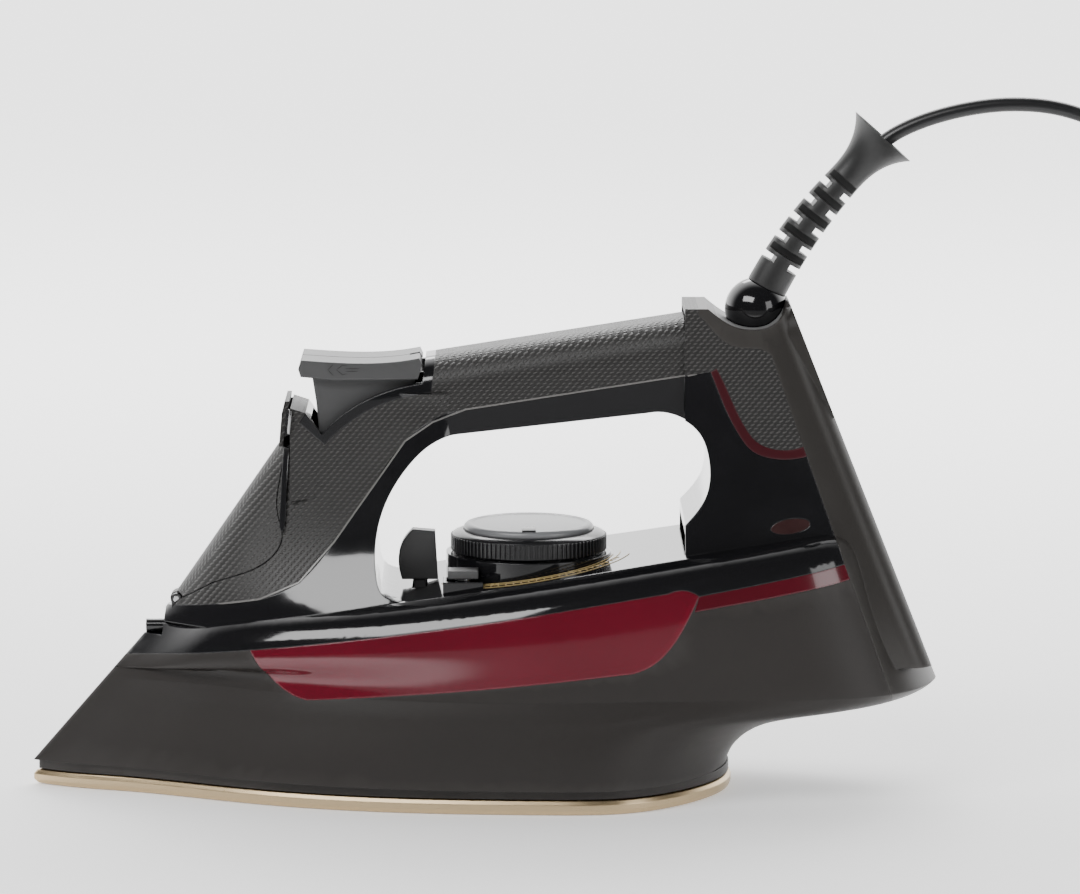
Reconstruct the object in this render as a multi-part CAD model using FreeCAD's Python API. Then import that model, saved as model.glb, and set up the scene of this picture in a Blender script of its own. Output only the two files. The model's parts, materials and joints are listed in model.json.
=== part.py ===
import FreeCAD, Part
import math
import os

# Steam iron, built as separate sub-parts. Millimetres.
# The nose points along -X, the heel and the cord along +X, up is +Z.
# The origin is on the face of the soleplate, at the middle of the iron's length and width.

V = FreeCAD.Vector
Y_AXIS = V(0, 1, 0)
Z_AXIS = V(0, 0, 1)

# ---- driving dimensions: overall -------------------------------------------------------------
NOSE_X = -151.0          # tip of the soleplate
HEEL_X = 151.0           # lowest corner of the heel
HEEL_Z = 37.0            # height of that corner
SOLE_TAIL_X = 82.5       # rear end of the soleplate
SOLE_HALF = 53.5         # half the width of the soleplate
WIDE_X = 20.0            # where the body is widest
TILT = 0.155             # rise of the belt, the deck and the handle for each mm towards the heel
NOSE_LEAN = 0.87         # how far the nose leans back for each mm of height
HEEL_LEAN = 0.395        # how far the heel leans forward for each mm of height
WALL = 2.4               # wall of the moulded shells
SEAM = 0.35              # gap round a piece that moves
HEEL_FLAT = 0.4          # depth of the flat that the iron stands on when it rests on its heel

# ---- soleplate, heater and skirt --------------------------------------------------------------
SOLE_T = 5.4
SOLE_EDGE_R = 1.8
NOSE_SHARE = 2.2          # how much further the sharp nose draws in than the sides
RIM_T = 3.0
RIM_INSET = 0.8
SKIRT_Z = SOLE_T + RIM_T
SKIRT_HALF = 55.5
HEATER_INSET = 11.0
HEATER_TOP_Z = 16.5
CHAMBER_INSET = 24.0
CHAMBER_FLOOR_Z = 9.0
LID_T = 1.4
ELEMENT_R = 3.2
ELEMENT_POINTS = 26
ELEMENT_END_X = 52.0
ELEMENT_INSET = 16.5
CHANNEL_GAP = 1.6
CHANNEL_FLOOR_Z = 7.6
STEAM_HOLE_R = 1.0
STEAM_HOLE_STEP = 9.0
SHIELD_Z = 25.0
SHIELD_T = 2.2

# ---- belt line, tank and deck -----------------------------------------------------------------
BELT_Z = 65.9            # height of the belt at the widest place
DECK_Z = 74.8            # height of the deck at the widest place
BODY_HALF = 51.5         # half width at heel height
BELT_HALF = 48.4
SHOULDER_HALF = 45.0
DECK_HALF = 37.5
TANK_WALL = 2.0
STRIP_H = 5.0            # height of the coloured strip behind the tank

# ---- handle -----------------------------------------------------------------------------------
GRIP_HALF = 17.0         # half the width of the handle
GRIP_TOP_Z = 151.2       # top of the handle at the widest place
GRIP_TOP_R = 11.0
COLUMN_TOP_Z = 162.0
PILLAR_FOOT_Z = 56.0
PILLAR_TOP_Z = 134.0

# ---- nozzle, valve and hoses ------------------------------------------------------------------
NOZZLE_R = 2.25
NOZZLE_Z = 53.8
SEAT_R = 5.0
NEEDLE_R = 1.6
DRIP_R = 4.0
HOSE_R = 1.8
SUCTION_X = -50.0
SUCTION_R = 2.2
STEAM_HOSE_X = -85.0
STEAM_HOSE_Y = 6.0
THERMOSTAT_TOP_Z = 31.0

# ---- dial, lever and keys ---------------------------------------------------------------------
DIAL_X = 14.7
DIAL_R = 26.0
DIAL_Z = 79.4            # underside of the knurled ring
DIAL_T = 7.0
DIAL_TEETH = 90
DIAL_TOOTH_DEPTH = 0.7
CAP_R = 21.5
CAP_T = 2.2
SHAFT_R = 3.0
SHAFT_GAP = 1.0
LEVER_X = -21.5
LEVER_TRAVEL = 8.0       # each way from the middle
LEVER_TOP_Z = 86.5
LEVER_L = 12.0
LEVER_W = 5.0
CLEAN_X = -7.0
CLEAN_Y = -27.0
CLEAN_TRAVEL = 2.5

# ---- buttons on the handle --------------------------------------------------------------------
PIVOT_X = -21.5
PIVOT_Z = 141.6
PIVOT_PIN_R = 1.2
PIN_GAP = 0.08
LIP_HALF = 15.2
SPLIT = 0.3              # half the gap between the two buttons
WELL_HALF = 13.0
WELL_WALL = 1.2
PLUNGER_X = -47.0
PLUNGER_Y = 6.6
PLUNGER_R = 2.0
PUMP_R = 5.6
PUMP_TOP_Z = 110.0
PUMP_BOTTOM_Z = 84.0
PUMP_FLOOR_T = 4.0
CRADLE_T = 2.0
PUMP_WALL = 2.0
PISTON_L = 4.0
PISTON_GAP = 0.3
SPRING_L = 8.0
PUMP_SPRING_R = 2.4
WEDGE_Z = 120.5          # underside of the buttons' wedges
SPRING_WIRE_R = 0.4

# ---- fill door --------------------------------------------------------------------------------
DOOR_PIN_X = -102.6
DOOR_PIN_Z = 63.6
DOOR_PIN_R = 1.0
KNUCKLE_R = 2.1
KNUCKLE_HALF = 3.0
LUG_OUT = 5.4
LINER_GAP = 0.65
LINER_T = 1.6
NECK_R = 7.5
NECK_WALL = 1.4

# ---- rear cover's screws and the indicator ----------------------------------------------------
SCREW_Y = 20.0
SCREW_Z = 60.0
SCREW_R = 1.6
SCREW_HEAD_R = 3.2
SCREW_HEAD_T = 2.2
SCREW_SINK = 3.0
POST_R = 4.6
LENS_X = 100.5
LENS_Z = 91.5
LENS_LONG = 6.4          # half the lens's length
LENS_HIGH = 2.4          # half the lens's height

# ---- cord, ball and plug ----------------------------------------------------------------------
BALL_X = 90.0
BALL_Z = 160.2
BALL_R = 10.3
BALL_GAP = 0.3
CORD_D = 4.8
CORD_R = CORD_D / 2
CORD_GAP = 0.35          # from the floor of the boot's cup to the end of the cord
COIL_X = 326.0
COIL_COLUMNS = 4
COIL_MID_R = 27.0
COIL_OUT_R = COIL_MID_R + COIL_COLUMNS * CORD_R
COIL_IN_R = COIL_MID_R - COIL_COLUMNS * CORD_R
COIL_H = COIL_COLUMNS * CORD_D
COIL_Y = COIL_OUT_R - CORD_R
COIL_STUB = 21.0
COIL_EDGE = 2.0
COIL_TAIL = 42.0         # from the coil to the plug
TIE_W = 6.0
TIE_T = 1.0
FLOOR_GAP = 0.1          # under what lies beside the iron
PLUG_W = 24.0
PLUG_L = 25.0
PLUG_H = 15.0
PLUG_EDGE = 4.0
RELIEF_L = 16.0          # the plug's strain relief
RELIEF_LAP = 1.0
PIN_L = 17.5
PIN_T = 1.5
PIN_PITCH = 12.7
PIN_WIDTHS = (6.3, 7.9)
LEAD_R = 1.1
TERMINALS_LOW_Z = 58.0
TERMINALS_TOP_Z = 74.0
CLAMP_LOW_Z = 126.0
CLAMP_TOP_Z = 134.0

# ---- lines of the side view, as (x, z) ---------------------------------------------------------
SEAM_TOP = (94.5, 146.5)
SEAM_FOOT = (133.4, 36.5)
TANK_TIP = (70.0, 71.2)
GRIP_LINE_BACK = (74.4, 141.4)
GRIP_LINE_BAR = (-8.0, 128.6)
GRIP_LINE_FRONT = (-108.0, 61.0)
TRIM_W = 3.2
NECK_TOP = (-88.0, 0, 86.0)
NECK_FOOT = (-62.5, 0, 52.0)

# ---- boot and cord route ------------------------------------------------------------------------
BOOT_LENGTH = 71.0
BOOT_START_DEG = 65.0
BOOT_END_DEG = 48.0
NECK_AT = 49.0           # where the trumpet mouth starts, from the ball's centre
BOOT_BASE_R = 6.8
BOOT_NECK_R = 5.7
MOUTH_R = 12.2
CUP_DEPTH = 11.0
SLOT_PITCH = 7.5
SLOT_W = 2.4
SLOT_COUNT = 5
CORD_ROUTE = (
    (132.2, 0, 216.4), (142.8, 0, 221.9), (156.5, 0, 226.0), (172.0, 0, 228.2), (189.0, 0, 227.2),
    (205.0, 0, 221.5), (219.5, 0, 210.5), (231.5, 0, 194.5), (240.5, 0, 174.5), (246.5, 0, 151.0),
    (250.5, 0, 126.0), (253.5, 0, 101.0), (256.0, 0, 77.0), (258.0, 0, 56.0), (261.0, 0, 37.5),
    (266.0, 0, 22.5), (273.0, 0, 11.5), (282.5, 0, 5.0), (293.5, 0, 2.5),
)

HALF_SPACE = 90.0        # half the depth of a cutting block
SLIVER = 20.0            # solids smaller than this are crumbs of a cut


# ---- helpers ----------------------------------------------------------------------------------
def belt_z(x):
    return BELT_Z + TILT * (x - WIDE_X)


def deck_z(x):
    return DECK_Z + TILT * (x - WIDE_X)


def grip_top_z(x):
    return GRIP_TOP_Z + TILT * (x - WIDE_X)


def heel_x(z):
    return HEEL_X - HEEL_LEAN * (z - HEEL_Z)


def door_x(z):
    """Front edge of the handle's front pillar, seen from the side."""
    return -105.8 + 0.69 * (z - 61.1)


def edge_run(points):
    """One edge: a straight line for two points, a smooth curve for more."""
    if len(points) == 2:
        return Part.LineSegment(points[0], points[1]).toShape()
    curve = Part.BSplineCurve()
    curve.interpolate(points)
    return curve.toShape()


def side_wire(runs, y=0.0):
    """A closed outline in the side view. Each run is a list of (x, z) that starts where the last one ended."""
    edges = []
    for run in runs:
        edges.append(edge_run([V(x, y, z) for x, z in run]))
    start = runs[0][0]
    end = runs[-1][-1]
    if math.dist(start, end) > 1e-6:
        edges.append(edge_run([V(end[0], y, end[1]), V(start[0], y, start[1])]))
    return Part.Wire(edges)


def side_prism(runs, y0=-HALF_SPACE, y1=HALF_SPACE):
    """A block with the given outline in the side view, from y0 to y1."""
    return Part.Face(side_wire(runs, y0)).extrude(V(0, y1 - y0, 0))


def polygon(points):
    """The runs of an outline with straight edges only."""
    closed = list(points) + [points[0]]
    return [[closed[i], closed[i + 1]] for i in range(len(points))]


def box(x0, x1, y0, y1, z0, z1):
    return Part.makeBox(x1 - x0, y1 - y0, z1 - z0, V(x0, y0, z0))


def upright(x, y, z0, z1, radius):
    return Part.makeCylinder(radius, z1 - z0, V(x, y, z0), Z_AXIS)


def crosswise(x, z, y0, y1, radius):
    return Part.makeCylinder(radius, y1 - y0, V(x, y0, z), Y_AXIS)


def rod(start, end, radius):
    axis = end.sub(start)
    return Part.makeCylinder(radius, axis.Length, start, axis)


def fuse(shapes):
    whole = shapes[0]
    for shape in shapes[1:]:
        whole = whole.fuse(shape)
    return whole.removeSplitter()


def largest(shape):
    """The main solid of a cut, without slivers."""
    return max(shape.Solids, key=lambda solid: solid.Volume)


def write(name, shape):
    """One file for one sub-part."""
    solids = shape.Solids
    out = solids[0] if len(solids) == 1 else Part.makeCompound(solids)
    out.exportStep("parts/" + name + ".step")
    print(name, len(solids), "solids", round(shape.Volume / 1000, 2), "cm3", shape.isValid())


# ---- the body's outer form --------------------------------------------------------------------
def plan_points(nose, half, tail, waist, corner_at, corner_half, bow=0.0):
    """The left side of the body in plan, from the nose to the tail, as (x, y). A bow above 0 fills the nose out."""
    front = WIDE_X - nose
    rear = tail - WIDE_X
    return [
        (nose, 0.0),
        (nose + 0.011 * front, 0.045 * half),
        (nose + 0.17 * front, (0.26 + 0.16 * bow) * half),
        (nose + 0.45 * front, (0.68 + 0.10 * bow) * half),
        (nose + 0.70 * front, (0.91 + 0.03 * bow) * half),
        (WIDE_X, half),
        (WIDE_X + 0.42 * rear, waist * half),
        (WIDE_X + corner_at * rear, corner_half),
        (tail - 0.3 * (1 - corner_at) * rear, 0.56 * corner_half),
        (tail, 0.0),
    ]


def inset_points(points, depth):
    """The same outline, moved inwards by depth."""
    moved = [(points[0][0] + depth, 0.0)]
    for i in range(1, len(points) - 1):
        dx = points[i + 1][0] - points[i - 1][0]
        dy = points[i + 1][1] - points[i - 1][1]
        size = math.hypot(dx, dy)
        x = points[i][0] + depth * dy / size
        y = points[i][1] - depth * dx / size
        moved.append((x, y))
    moved.append((points[-1][0] - depth, 0.0))
    if depth > 0:
        moved[1] = (moved[0][0] + points[1][0] - points[0][0], points[1][1])
    return moved


def plan_wire(points, z, tilt=0.0):
    """A closed plan outline at height z, tilted about the widest place."""
    left = [V(x, y, z + tilt * (x - WIDE_X)) for x, y in points]
    right = [V(p.x, -p.y, p.z) for p in reversed(left[1:-1])]
    curve = Part.BSplineCurve()
    curve.interpolate(Points=left + right, PeriodicFlag=True)
    return Part.Wire([curve.toShape()])


def nose_at(z, tilt):
    """Where the leaning nose meets a level that is tilted about the widest place."""
    base = NOSE_X + NOSE_LEAN * (z - tilt * WIDE_X - SKIRT_Z)
    return base / (1 - NOSE_LEAN * tilt)


def tail_at(z, tilt):
    """Where the leaning heel meets a level that is tilted about the widest place."""
    base = HEEL_X - HEEL_LEAN * (z - tilt * WIDE_X - HEEL_Z)
    return base / (1 + HEEL_LEAN * tilt)


def hull(inset=0.0):
    """The wide lower body from the skirt's edge to the deck."""
    low = []
    for z, half, tail, corner in (
        (SKIRT_Z, SKIRT_HALF, SOLE_TAIL_X - 1.5, 0.66),
        (14.0, SKIRT_HALF - 0.2, SOLE_TAIL_X + 0.7, 0.66),
        (20.5, SKIRT_HALF - 0.9, SOLE_TAIL_X + 7.7, 0.66),
        (27.0, SKIRT_HALF - 1.9, SOLE_TAIL_X + 25.5, 0.65),
        (HEEL_Z, BODY_HALF, HEEL_X, 0.64),
    ):
        spread = (tail - SOLE_TAIL_X) / (HEEL_X - SOLE_TAIL_X)
        corner_at = 0.77 + 0.13 * max(spread, 0.0)
        points = plan_points(nose_at(z, 0.0), half, tail, 0.96 - 0.03 * spread, corner_at, corner * half)
        lift = inset * min(1.0, 2.0 * max(spread, 0.0)) / (tail - NOSE_X)
        low.append(plan_wire(inset_points(points, inset), z + lift * (WIDE_X - NOSE_X), lift))
    high = [low[-1]]
    levels = [
        (51.4, 0.5 * TILT, 0.5 * (BODY_HALF + BELT_HALF) + 0.6, 0.5),
        (BELT_Z, TILT, BELT_HALF, 1.0),
        (0.5 * (BELT_Z + DECK_Z) + 0.6, TILT, SHOULDER_HALF, 1.15),
        (DECK_Z - inset, TILT, DECK_HALF, 1.3),
    ]
    if inset > 0:
        levels.pop(2)
    for z, tilt, half, bow in levels:
        points = plan_points(nose_at(z, tilt), half, tail_at(z, tilt), 0.93, 0.90, 0.64 * half, bow)
        high.append(plan_wire(inset_points(points, inset), z, tilt))
    lower = Part.makeLoft(low, True)
    upper = Part.makeLoft(high, True)
    return lower.fuse(upper).removeSplitter()


def pillar(inset=0.0):
    """The front pillar of the handle, under the buttons."""
    rear = -2.0
    wires = []
    rows = (
        (PILLAR_FOOT_Z, 34.0, 1.0), (66.0, 31.0, 0.55), (76.0, 26.0, 0.15), (94.0, 20.6, 0.0), (116.0, 17.8, 0.0),
        (PILLAR_TOP_Z, 16.8, 0.0),
    )
    for z, half, slim in rows:
        front = door_x(z) + inset
        width = half - inset
        length = rear - front
        wires.append(plan_wire([
            (front, 0.0),
            (front + 0.03 * length, (0.32 - 0.15 * slim) * width),
            (front + 0.20 * length, (0.74 - 0.15 * slim) * width),
            (front + 0.50 * length, (1.0 - 0.05 * slim) * width),
            (front + 0.85 * length, width),
            (rear, 0.0),
        ], z))
    return Part.makeLoft(wires, True)


def bar(inset=0.0):
    """The top bar of the handle, with rounded shoulders."""
    x0 = -64.0 + inset
    x1 = 118.0
    depth = 40.0
    width = GRIP_HALF - inset
    top = grip_top_z(x0) - inset
    radius = GRIP_TOP_R - inset
    low = top - depth
    k = radius * (1 - math.sqrt(0.5))
    corner_left = Part.Arc(
        V(x0, -width, top - radius), V(x0, -width + k, top - k), V(x0, -width + radius, top)
    ).toShape()
    corner_right = Part.Arc(
        V(x0, width - radius, top), V(x0, width - k, top - k), V(x0, width, top - radius)
    ).toShape()
    wire = Part.Wire([
        edge_run([V(x0, -width, low), V(x0, -width, top - radius)]),
        corner_left,
        edge_run([V(x0, -width + radius, top), V(x0, width - radius, top)]),
        corner_right,
        edge_run([V(x0, width, top - radius), V(x0, width, low)]),
        edge_run([V(x0, width, low), V(x0, -width, low)]),
    ])
    return Part.Face(wire).extrude(V(x1 - x0, 0, TILT * (x1 - x0)))


def rounded_plan(x0, x1, half, radius, z):
    """A rectangle with rounded rear corners, at height z."""
    k = radius * (1 - math.sqrt(0.5))
    return Part.Wire([
        edge_run([V(x0, half, z), V(x1 - radius, half, z)]),
        Part.Arc(V(x1 - radius, half, z), V(x1 - k, half - k, z), V(x1, half - radius, z)).toShape(),
        edge_run([V(x1, half - radius, z), V(x1, -half + radius, z)]),
        Part.Arc(V(x1, -half + radius, z), V(x1 - k, -half + k, z), V(x1 - radius, -half, z)).toShape(),
        edge_run([V(x1 - radius, -half, z), V(x0, -half, z)]),
        edge_run([V(x0, -half, z), V(x0, half, z)]),
    ])


def column(inset=0.0):
    """The rear column of the handle, which ends in the heel."""
    wires = []
    for z, half in ((HEEL_Z + 8.0, 33.0), (85.0, 29.5), (110.0, 24.0), (138.0, 19.0), (COLUMN_TOP_Z - inset, 17.2)):
        wires.append(rounded_plan(66.0, heel_x(z) - inset, half - inset, 8.0 - inset, z))
    return Part.makeLoft(wires, True)


# ---- outlines in the side view ----------------------------------------------------------------
def opening_runs(grow=0.0):
    """The finger opening between the handle and the deck."""
    g = grow
    left_x = -35.5
    return [
        [(left_x - g, deck_z(left_x) + 9.0), (-32.6 - g, 98.0 + 0.3 * g), (-25.8 - 0.8 * g, 109.5 + 0.6 * g),
         (-17.8 - 0.5 * g, 117.3 + 0.9 * g), (-8.7, 120.6 + g)],
        [(-8.7, 120.6 + g), (54.0, 127.6 + g)],
        [(54.0, 127.6 + g), (63.8 + 0.4 * g, 126.6 + 0.9 * g), (70.6 + 0.8 * g, 121.6 + 0.6 * g),
         (74.0 + g, 112.0), (73.0 + g, 101.5), (67.0 + 0.8 * g, 93.0 - 0.6 * g), (56.0, deck_z(56.0) - g)],
        [(56.0, deck_z(56.0) - g), (-26.0, deck_z(-26.0) - g)],
        [(-26.0, deck_z(-26.0) - g), (-33.0 - 0.7 * g, deck_z(-33.0) + 2.6 - 0.7 * g),
         (left_x - g, deck_z(left_x) + 9.0)],
    ]


def seam_x(z):
    """The straight seam between the body and the rear cover."""
    share = (SEAM_TOP[1] - z) / (SEAM_TOP[1] - SEAM_FOOT[1])
    return SEAM_TOP[0] + share * (SEAM_FOOT[0] - SEAM_TOP[0])


def tank_runs(grow=0.0):
    g = grow
    return [
        [(-77.0 - g, belt_z(-77.0 - g) + g), (60.0, belt_z(60.0) + g)],
        [(60.0, belt_z(60.0) + g), (66.0 + 0.5 * g, 73.0 + 0.7 * g), (TANK_TIP[0] + g, TANK_TIP[1])],
        [(TANK_TIP[0] + g, TANK_TIP[1]), (65.0 + g, 61.0), (57.5 + 0.7 * g, 51.0 - 0.7 * g), (45.0, 46.0 - g)],
        [(45.0, 46.0 - g), (-58.0, 35.4 - g)],
        [(-58.0, 35.4 - g), (-67.0 - 0.7 * g, 38.8 - 0.7 * g), (-73.0 - 0.9 * g, 44.6),
         (-77.0 - g, belt_z(-77.0 - g) + g)],
    ]


def cover_runs():
    """Everything behind the seam of the rear cover."""
    return [
        [(68.0, 175.0), (70.5, 160.0)],
        [(70.5, 160.0), (75.5, 154.5), (80.0, 150.6), (84.5, 149.2), (89.5, 149.0), SEAM_TOP],
        [SEAM_TOP, SEAM_FOOT],
        [SEAM_FOOT, (SEAM_FOOT[0] + 8.0, 10.0)],
        [(SEAM_FOOT[0] + 8.0, 10.0), (200.0, 10.0)],
        [(200.0, 10.0), (200.0, 175.0)],
    ]


def grip_line():
    """The lower edge of the textured grip, from the back to the front."""
    return [
        [GRIP_LINE_BACK, GRIP_LINE_BAR],
        [GRIP_LINE_BAR, (-26.1, 118.6), (-38.5, 101.0), (-49.6, 85.3), (-61.0, 72.6), (-74.0, 66.8), (-88.0, 64.2)],
        [(-88.0, 64.2), GRIP_LINE_FRONT],
    ]


def trim_edge(offset):
    """The trim round the rear end of the grip: its lower edge, moved up by offset."""
    o = offset
    end_z = 114.0 + o
    return [
        (GRIP_LINE_BACK[0] + 0.6 * o, GRIP_LINE_BACK[1] + 0.35 * o), (79.0 + 0.9 * o, 130.0 + 0.3 * o),
        (83.2 + 0.8 * o, 121.8 + 0.5 * o), (88.0 + 0.5 * o, 115.8 + 0.9 * o), (94.0, 113.4 + o),
        (seam_x(end_z), end_z),
    ]


def grip_runs():
    """The textured grip: above the grip line and the trim, up to the cover's seam."""
    upper = trim_edge(TRIM_W)
    back_top = grip_line()[0][0]
    front = (-120.0, GRIP_LINE_FRONT[1])
    return [
        [front, (-120.0, 180.0)],
        [(-120.0, 180.0), (110.0, 180.0)],
        [(110.0, 180.0), (seam_x(upper[-1][1]) + 10.0, upper[-1][1])],
        [(seam_x(upper[-1][1]) + 10.0, upper[-1][1]), upper[-1]],
        list(reversed(upper)),
        [upper[0], back_top],
    ] + grip_line() + [[GRIP_LINE_FRONT, front]]


def trim_runs():
    lower = trim_edge(0.0)
    upper = trim_edge(TRIM_W)
    return [lower, [lower[-1], upper[-1]], list(reversed(upper)), [upper[0], lower[0]]]


def door_seam():
    """The edge of the fill door, from the pull tab down to the hinge."""
    return [
        [(-63.6, 131.0), (-65.4, 118.0)],
        [(-65.4, 118.0), (-67.6, 104.0), (-68.2, 94.0), (-66.6, 86.0), (-70.4, 79.6), (-79.8, 74.2), (-90.0, 70.4)],
        [(-90.0, 70.4), (DOOR_PIN_X, DOOR_PIN_Z - 0.6)],
    ]


def door_runs(shift=0.0):
    """The outline of the fill door, drawn back from its seam by shift."""
    d = shift
    seam = [[(x - 0.8 * d, z + 0.6 * d) for x, z in run] for run in door_seam()]
    foot = seam[-1][-1]
    top = seam[0][0]
    return seam + [[foot, (-125.0, foot[1])], [(-125.0, foot[1]), (-100.0, top[1])], [(-100.0, top[1]), top]]


def well_rim_points(offset):
    """The rim of the button well, moved down and back by offset."""
    o = offset
    return [
        (-53.6 + 0.3 * o, 120.4 - o), (-46.7 + 0.6 * o, 127.0 - 0.8 * o),
        (-35.5 + 0.4 * o, 133.4 - 0.9 * o), (-26.0 + 0.2 * o, 136.4 - o), (-20.4, 137.4 - o),
    ]


# ---- the shells' common solids ----------------------------------------------------------------
def outer_form(inset=0.0):
    """The whole body, less the finger opening, the button well and the step for the nozzle."""
    whole = hull(inset).fuse([pillar(inset), bar(inset), column(inset)])
    whole = whole.cut(side_prism(opening_runs(inset)))
    rim = well_rim_points(inset)
    horn = (-58.8, 127.6 - inset)
    back = (-18.6 + inset, 190.0)
    pocket = [[(-75.0, 190.0), (-64.8, 129.6)], [(-64.8, 129.6), horn], [horn, rim[0]], rim, [rim[-1], back]]
    whole = whole.cut(side_prism(pocket))
    step = polygon([
        (-130.0, NOZZLE_Z - NOZZLE_R - inset), (-107.5 + inset, NOZZLE_Z - NOZZLE_R - inset),
        (-106.3 + inset, 60.2), (-130.0, 60.2),
    ])
    behind = side_prism(polygon([
        (heel_x(0.0) - inset - HEEL_FLAT, 0.0), (heel_x(180.0) - inset - HEEL_FLAT, 180.0),
        (220.0, 180.0), (220.0, 0.0),
    ]))
    return whole.cut(side_prism(step)).cut(behind)


def saddle_runs():
    """The hollow in the top of the heel that the cord's ball sits in."""
    return [
        [(70.5, 175.0), (73.0, 162.5)],
        [(73.0, 162.5), (77.0, 159.2), (82.0, 156.2), (88.0, 155.0), (93.5, 155.9), (97.3, 158.8), (99.5, 163.0)],
        [(99.5, 163.0), (101.0, 175.0)],
    ]


def strip_line(drop):
    """The coloured strip between the tank's tip and the cover, lowered by drop."""
    start = (TANK_TIP[0] - 0.3 * drop, TANK_TIP[1] - drop)
    end_z = 80.4 - drop
    return [start, (seam_x(end_z) + 2.0, end_z)]


def below_belt_runs():
    """Everything under the belt and the coloured strip."""
    strip = strip_line(STRIP_H)
    belt_end = (60.0, belt_z(60.0))
    return [
        [(-170.0, belt_z(-170.0)), belt_end],
        [belt_end, (66.0, 73.0), TANK_TIP],
        [TANK_TIP, strip[0]],
        strip,
        [strip[1], (170.0, strip[1][1])],
        [(170.0, strip[1][1]), (170.0, 0.0)],
        [(170.0, 0.0), (-170.0, 0.0)],
    ]


def strip_runs():
    top = strip_line(0.0)
    bottom = strip_line(STRIP_H)
    return [top, [top[1], bottom[1]], [bottom[1], bottom[0]], [bottom[0], top[0]]]


def lens_prism():
    """The oval of the indicator, through the right-hand wall only."""
    middle = V(LENS_X, -60.0, LENS_Z)
    oval = Part.Ellipse(middle.add(V(LENS_LONG, 0, TILT * LENS_LONG)), middle.add(V(0, 0, LENS_HIGH)), middle)
    return Part.Face(Part.Wire([oval.toShape()])).extrude(V(0, 56.0, 0))


def seam_block(z0, z1, d0, d1, half):
    """A block parallel to the cover's seam, from d0 to d1 behind it."""
    return side_prism(polygon([
        (seam_x(z0) + d0, z0), (seam_x(z0) + d1, z0), (seam_x(z1) + d1, z1), (seam_x(z1) + d0, z1),
    ]), -half, half)


def pipe_run(points, radius):
    """A bent rod: straight runs joined by balls."""
    pieces = []
    for start, end in zip(points[:-1], points[1:]):
        pieces.append(rod(V(*start), V(*end), radius))
    for point in points[1:-1]:
        pieces.append(Part.makeSphere(radius, V(*point)))
    return fuse(pieces)


def coil_spring(x, y, z0, z1, radius, turns):
    """A round wire spring that stands on z0."""
    height = z1 - z0 - 2 * SPRING_WIRE_R
    helix = Part.makeLongHelix(height / turns, height, radius)
    profile = Part.Wire([Part.makeCircle(SPRING_WIRE_R, V(radius, 0, 0), Y_AXIS)])
    solid = Part.Wire(helix.Edges).makePipeShell([profile], True, True)
    solid.translate(V(x, y, z0 + SPRING_WIRE_R))
    return solid


# ---- soleplate and heater ---------------------------------------------------------------------
def sole_points(inset=0.0):
    """The soleplate's outline, drawn in by inset. The sharp nose draws in further than the sides."""
    half = SOLE_HALF - inset
    return plan_points(NOSE_X + NOSE_SHARE * inset, half, SOLE_TAIL_X - inset, 0.96, 0.77, 0.66 * half)


def plan_slab(points, z0, z1):
    return Part.Face(plan_wire(points, z0)).extrude(V(0, 0, z1 - z0))


def hole_places():
    """Steam holes in three rows that follow the edge of the soleplate."""
    places = []
    for inset, first, last in ((12.0, -118.0, 60.0), (21.0, -98.0, 46.0), (30.0, -76.0, 34.0)):
        curve = Part.BSplineCurve()
        curve.interpolate([V(x, y, 0) for x, y in sole_points(inset)])
        count = int((last - first) / STEAM_HOLE_STEP)
        for i in range(count + 1):
            x = first + i * STEAM_HOLE_STEP
            crossing = curve.intersect(Part.LineSegment(V(x, 0.5, 0), V(x, 80, 0)))
            if crossing:
                places.append((x, crossing[0].Y))
                places.append((x, -crossing[0].Y))
    return places


def soleplate():
    e = SOLE_EDGE_R
    rings = ((e, 0.0), (0.3 * e, 0.3 * e), (0.0, e), (0.0, SOLE_T - e), (0.3 * e, SOLE_T - 0.3 * e), (e, SOLE_T))
    plate = Part.makeLoft([plan_wire(sole_points(inset), z) for inset, z in rings], True, True)
    holes = [upright(x, y, -1.0, SOLE_T + 1.0, STEAM_HOLE_R) for x, y in hole_places()]
    return plate.cut(Part.makeCompound(holes))


def element_path(z):
    """A U that follows the edge of the soleplate, with both ends turned up at the back."""
    curve = Part.BSplineCurve()
    curve.interpolate([V(x, y, 0) for x, y in sole_points(ELEMENT_INSET)])
    left = [p for p in curve.discretize(ELEMENT_POINTS) if p.y > 2.0 and p.x < ELEMENT_END_X]
    rear = left[-1]
    path = [(p.x, p.y, z) for p in reversed(left)] + [(p.x, -p.y, z) for p in left]
    top = HEATER_TOP_Z + 5.0
    return [(rear.x, rear.y, top)] + path + [(rear.x, -rear.y, top)]


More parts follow.
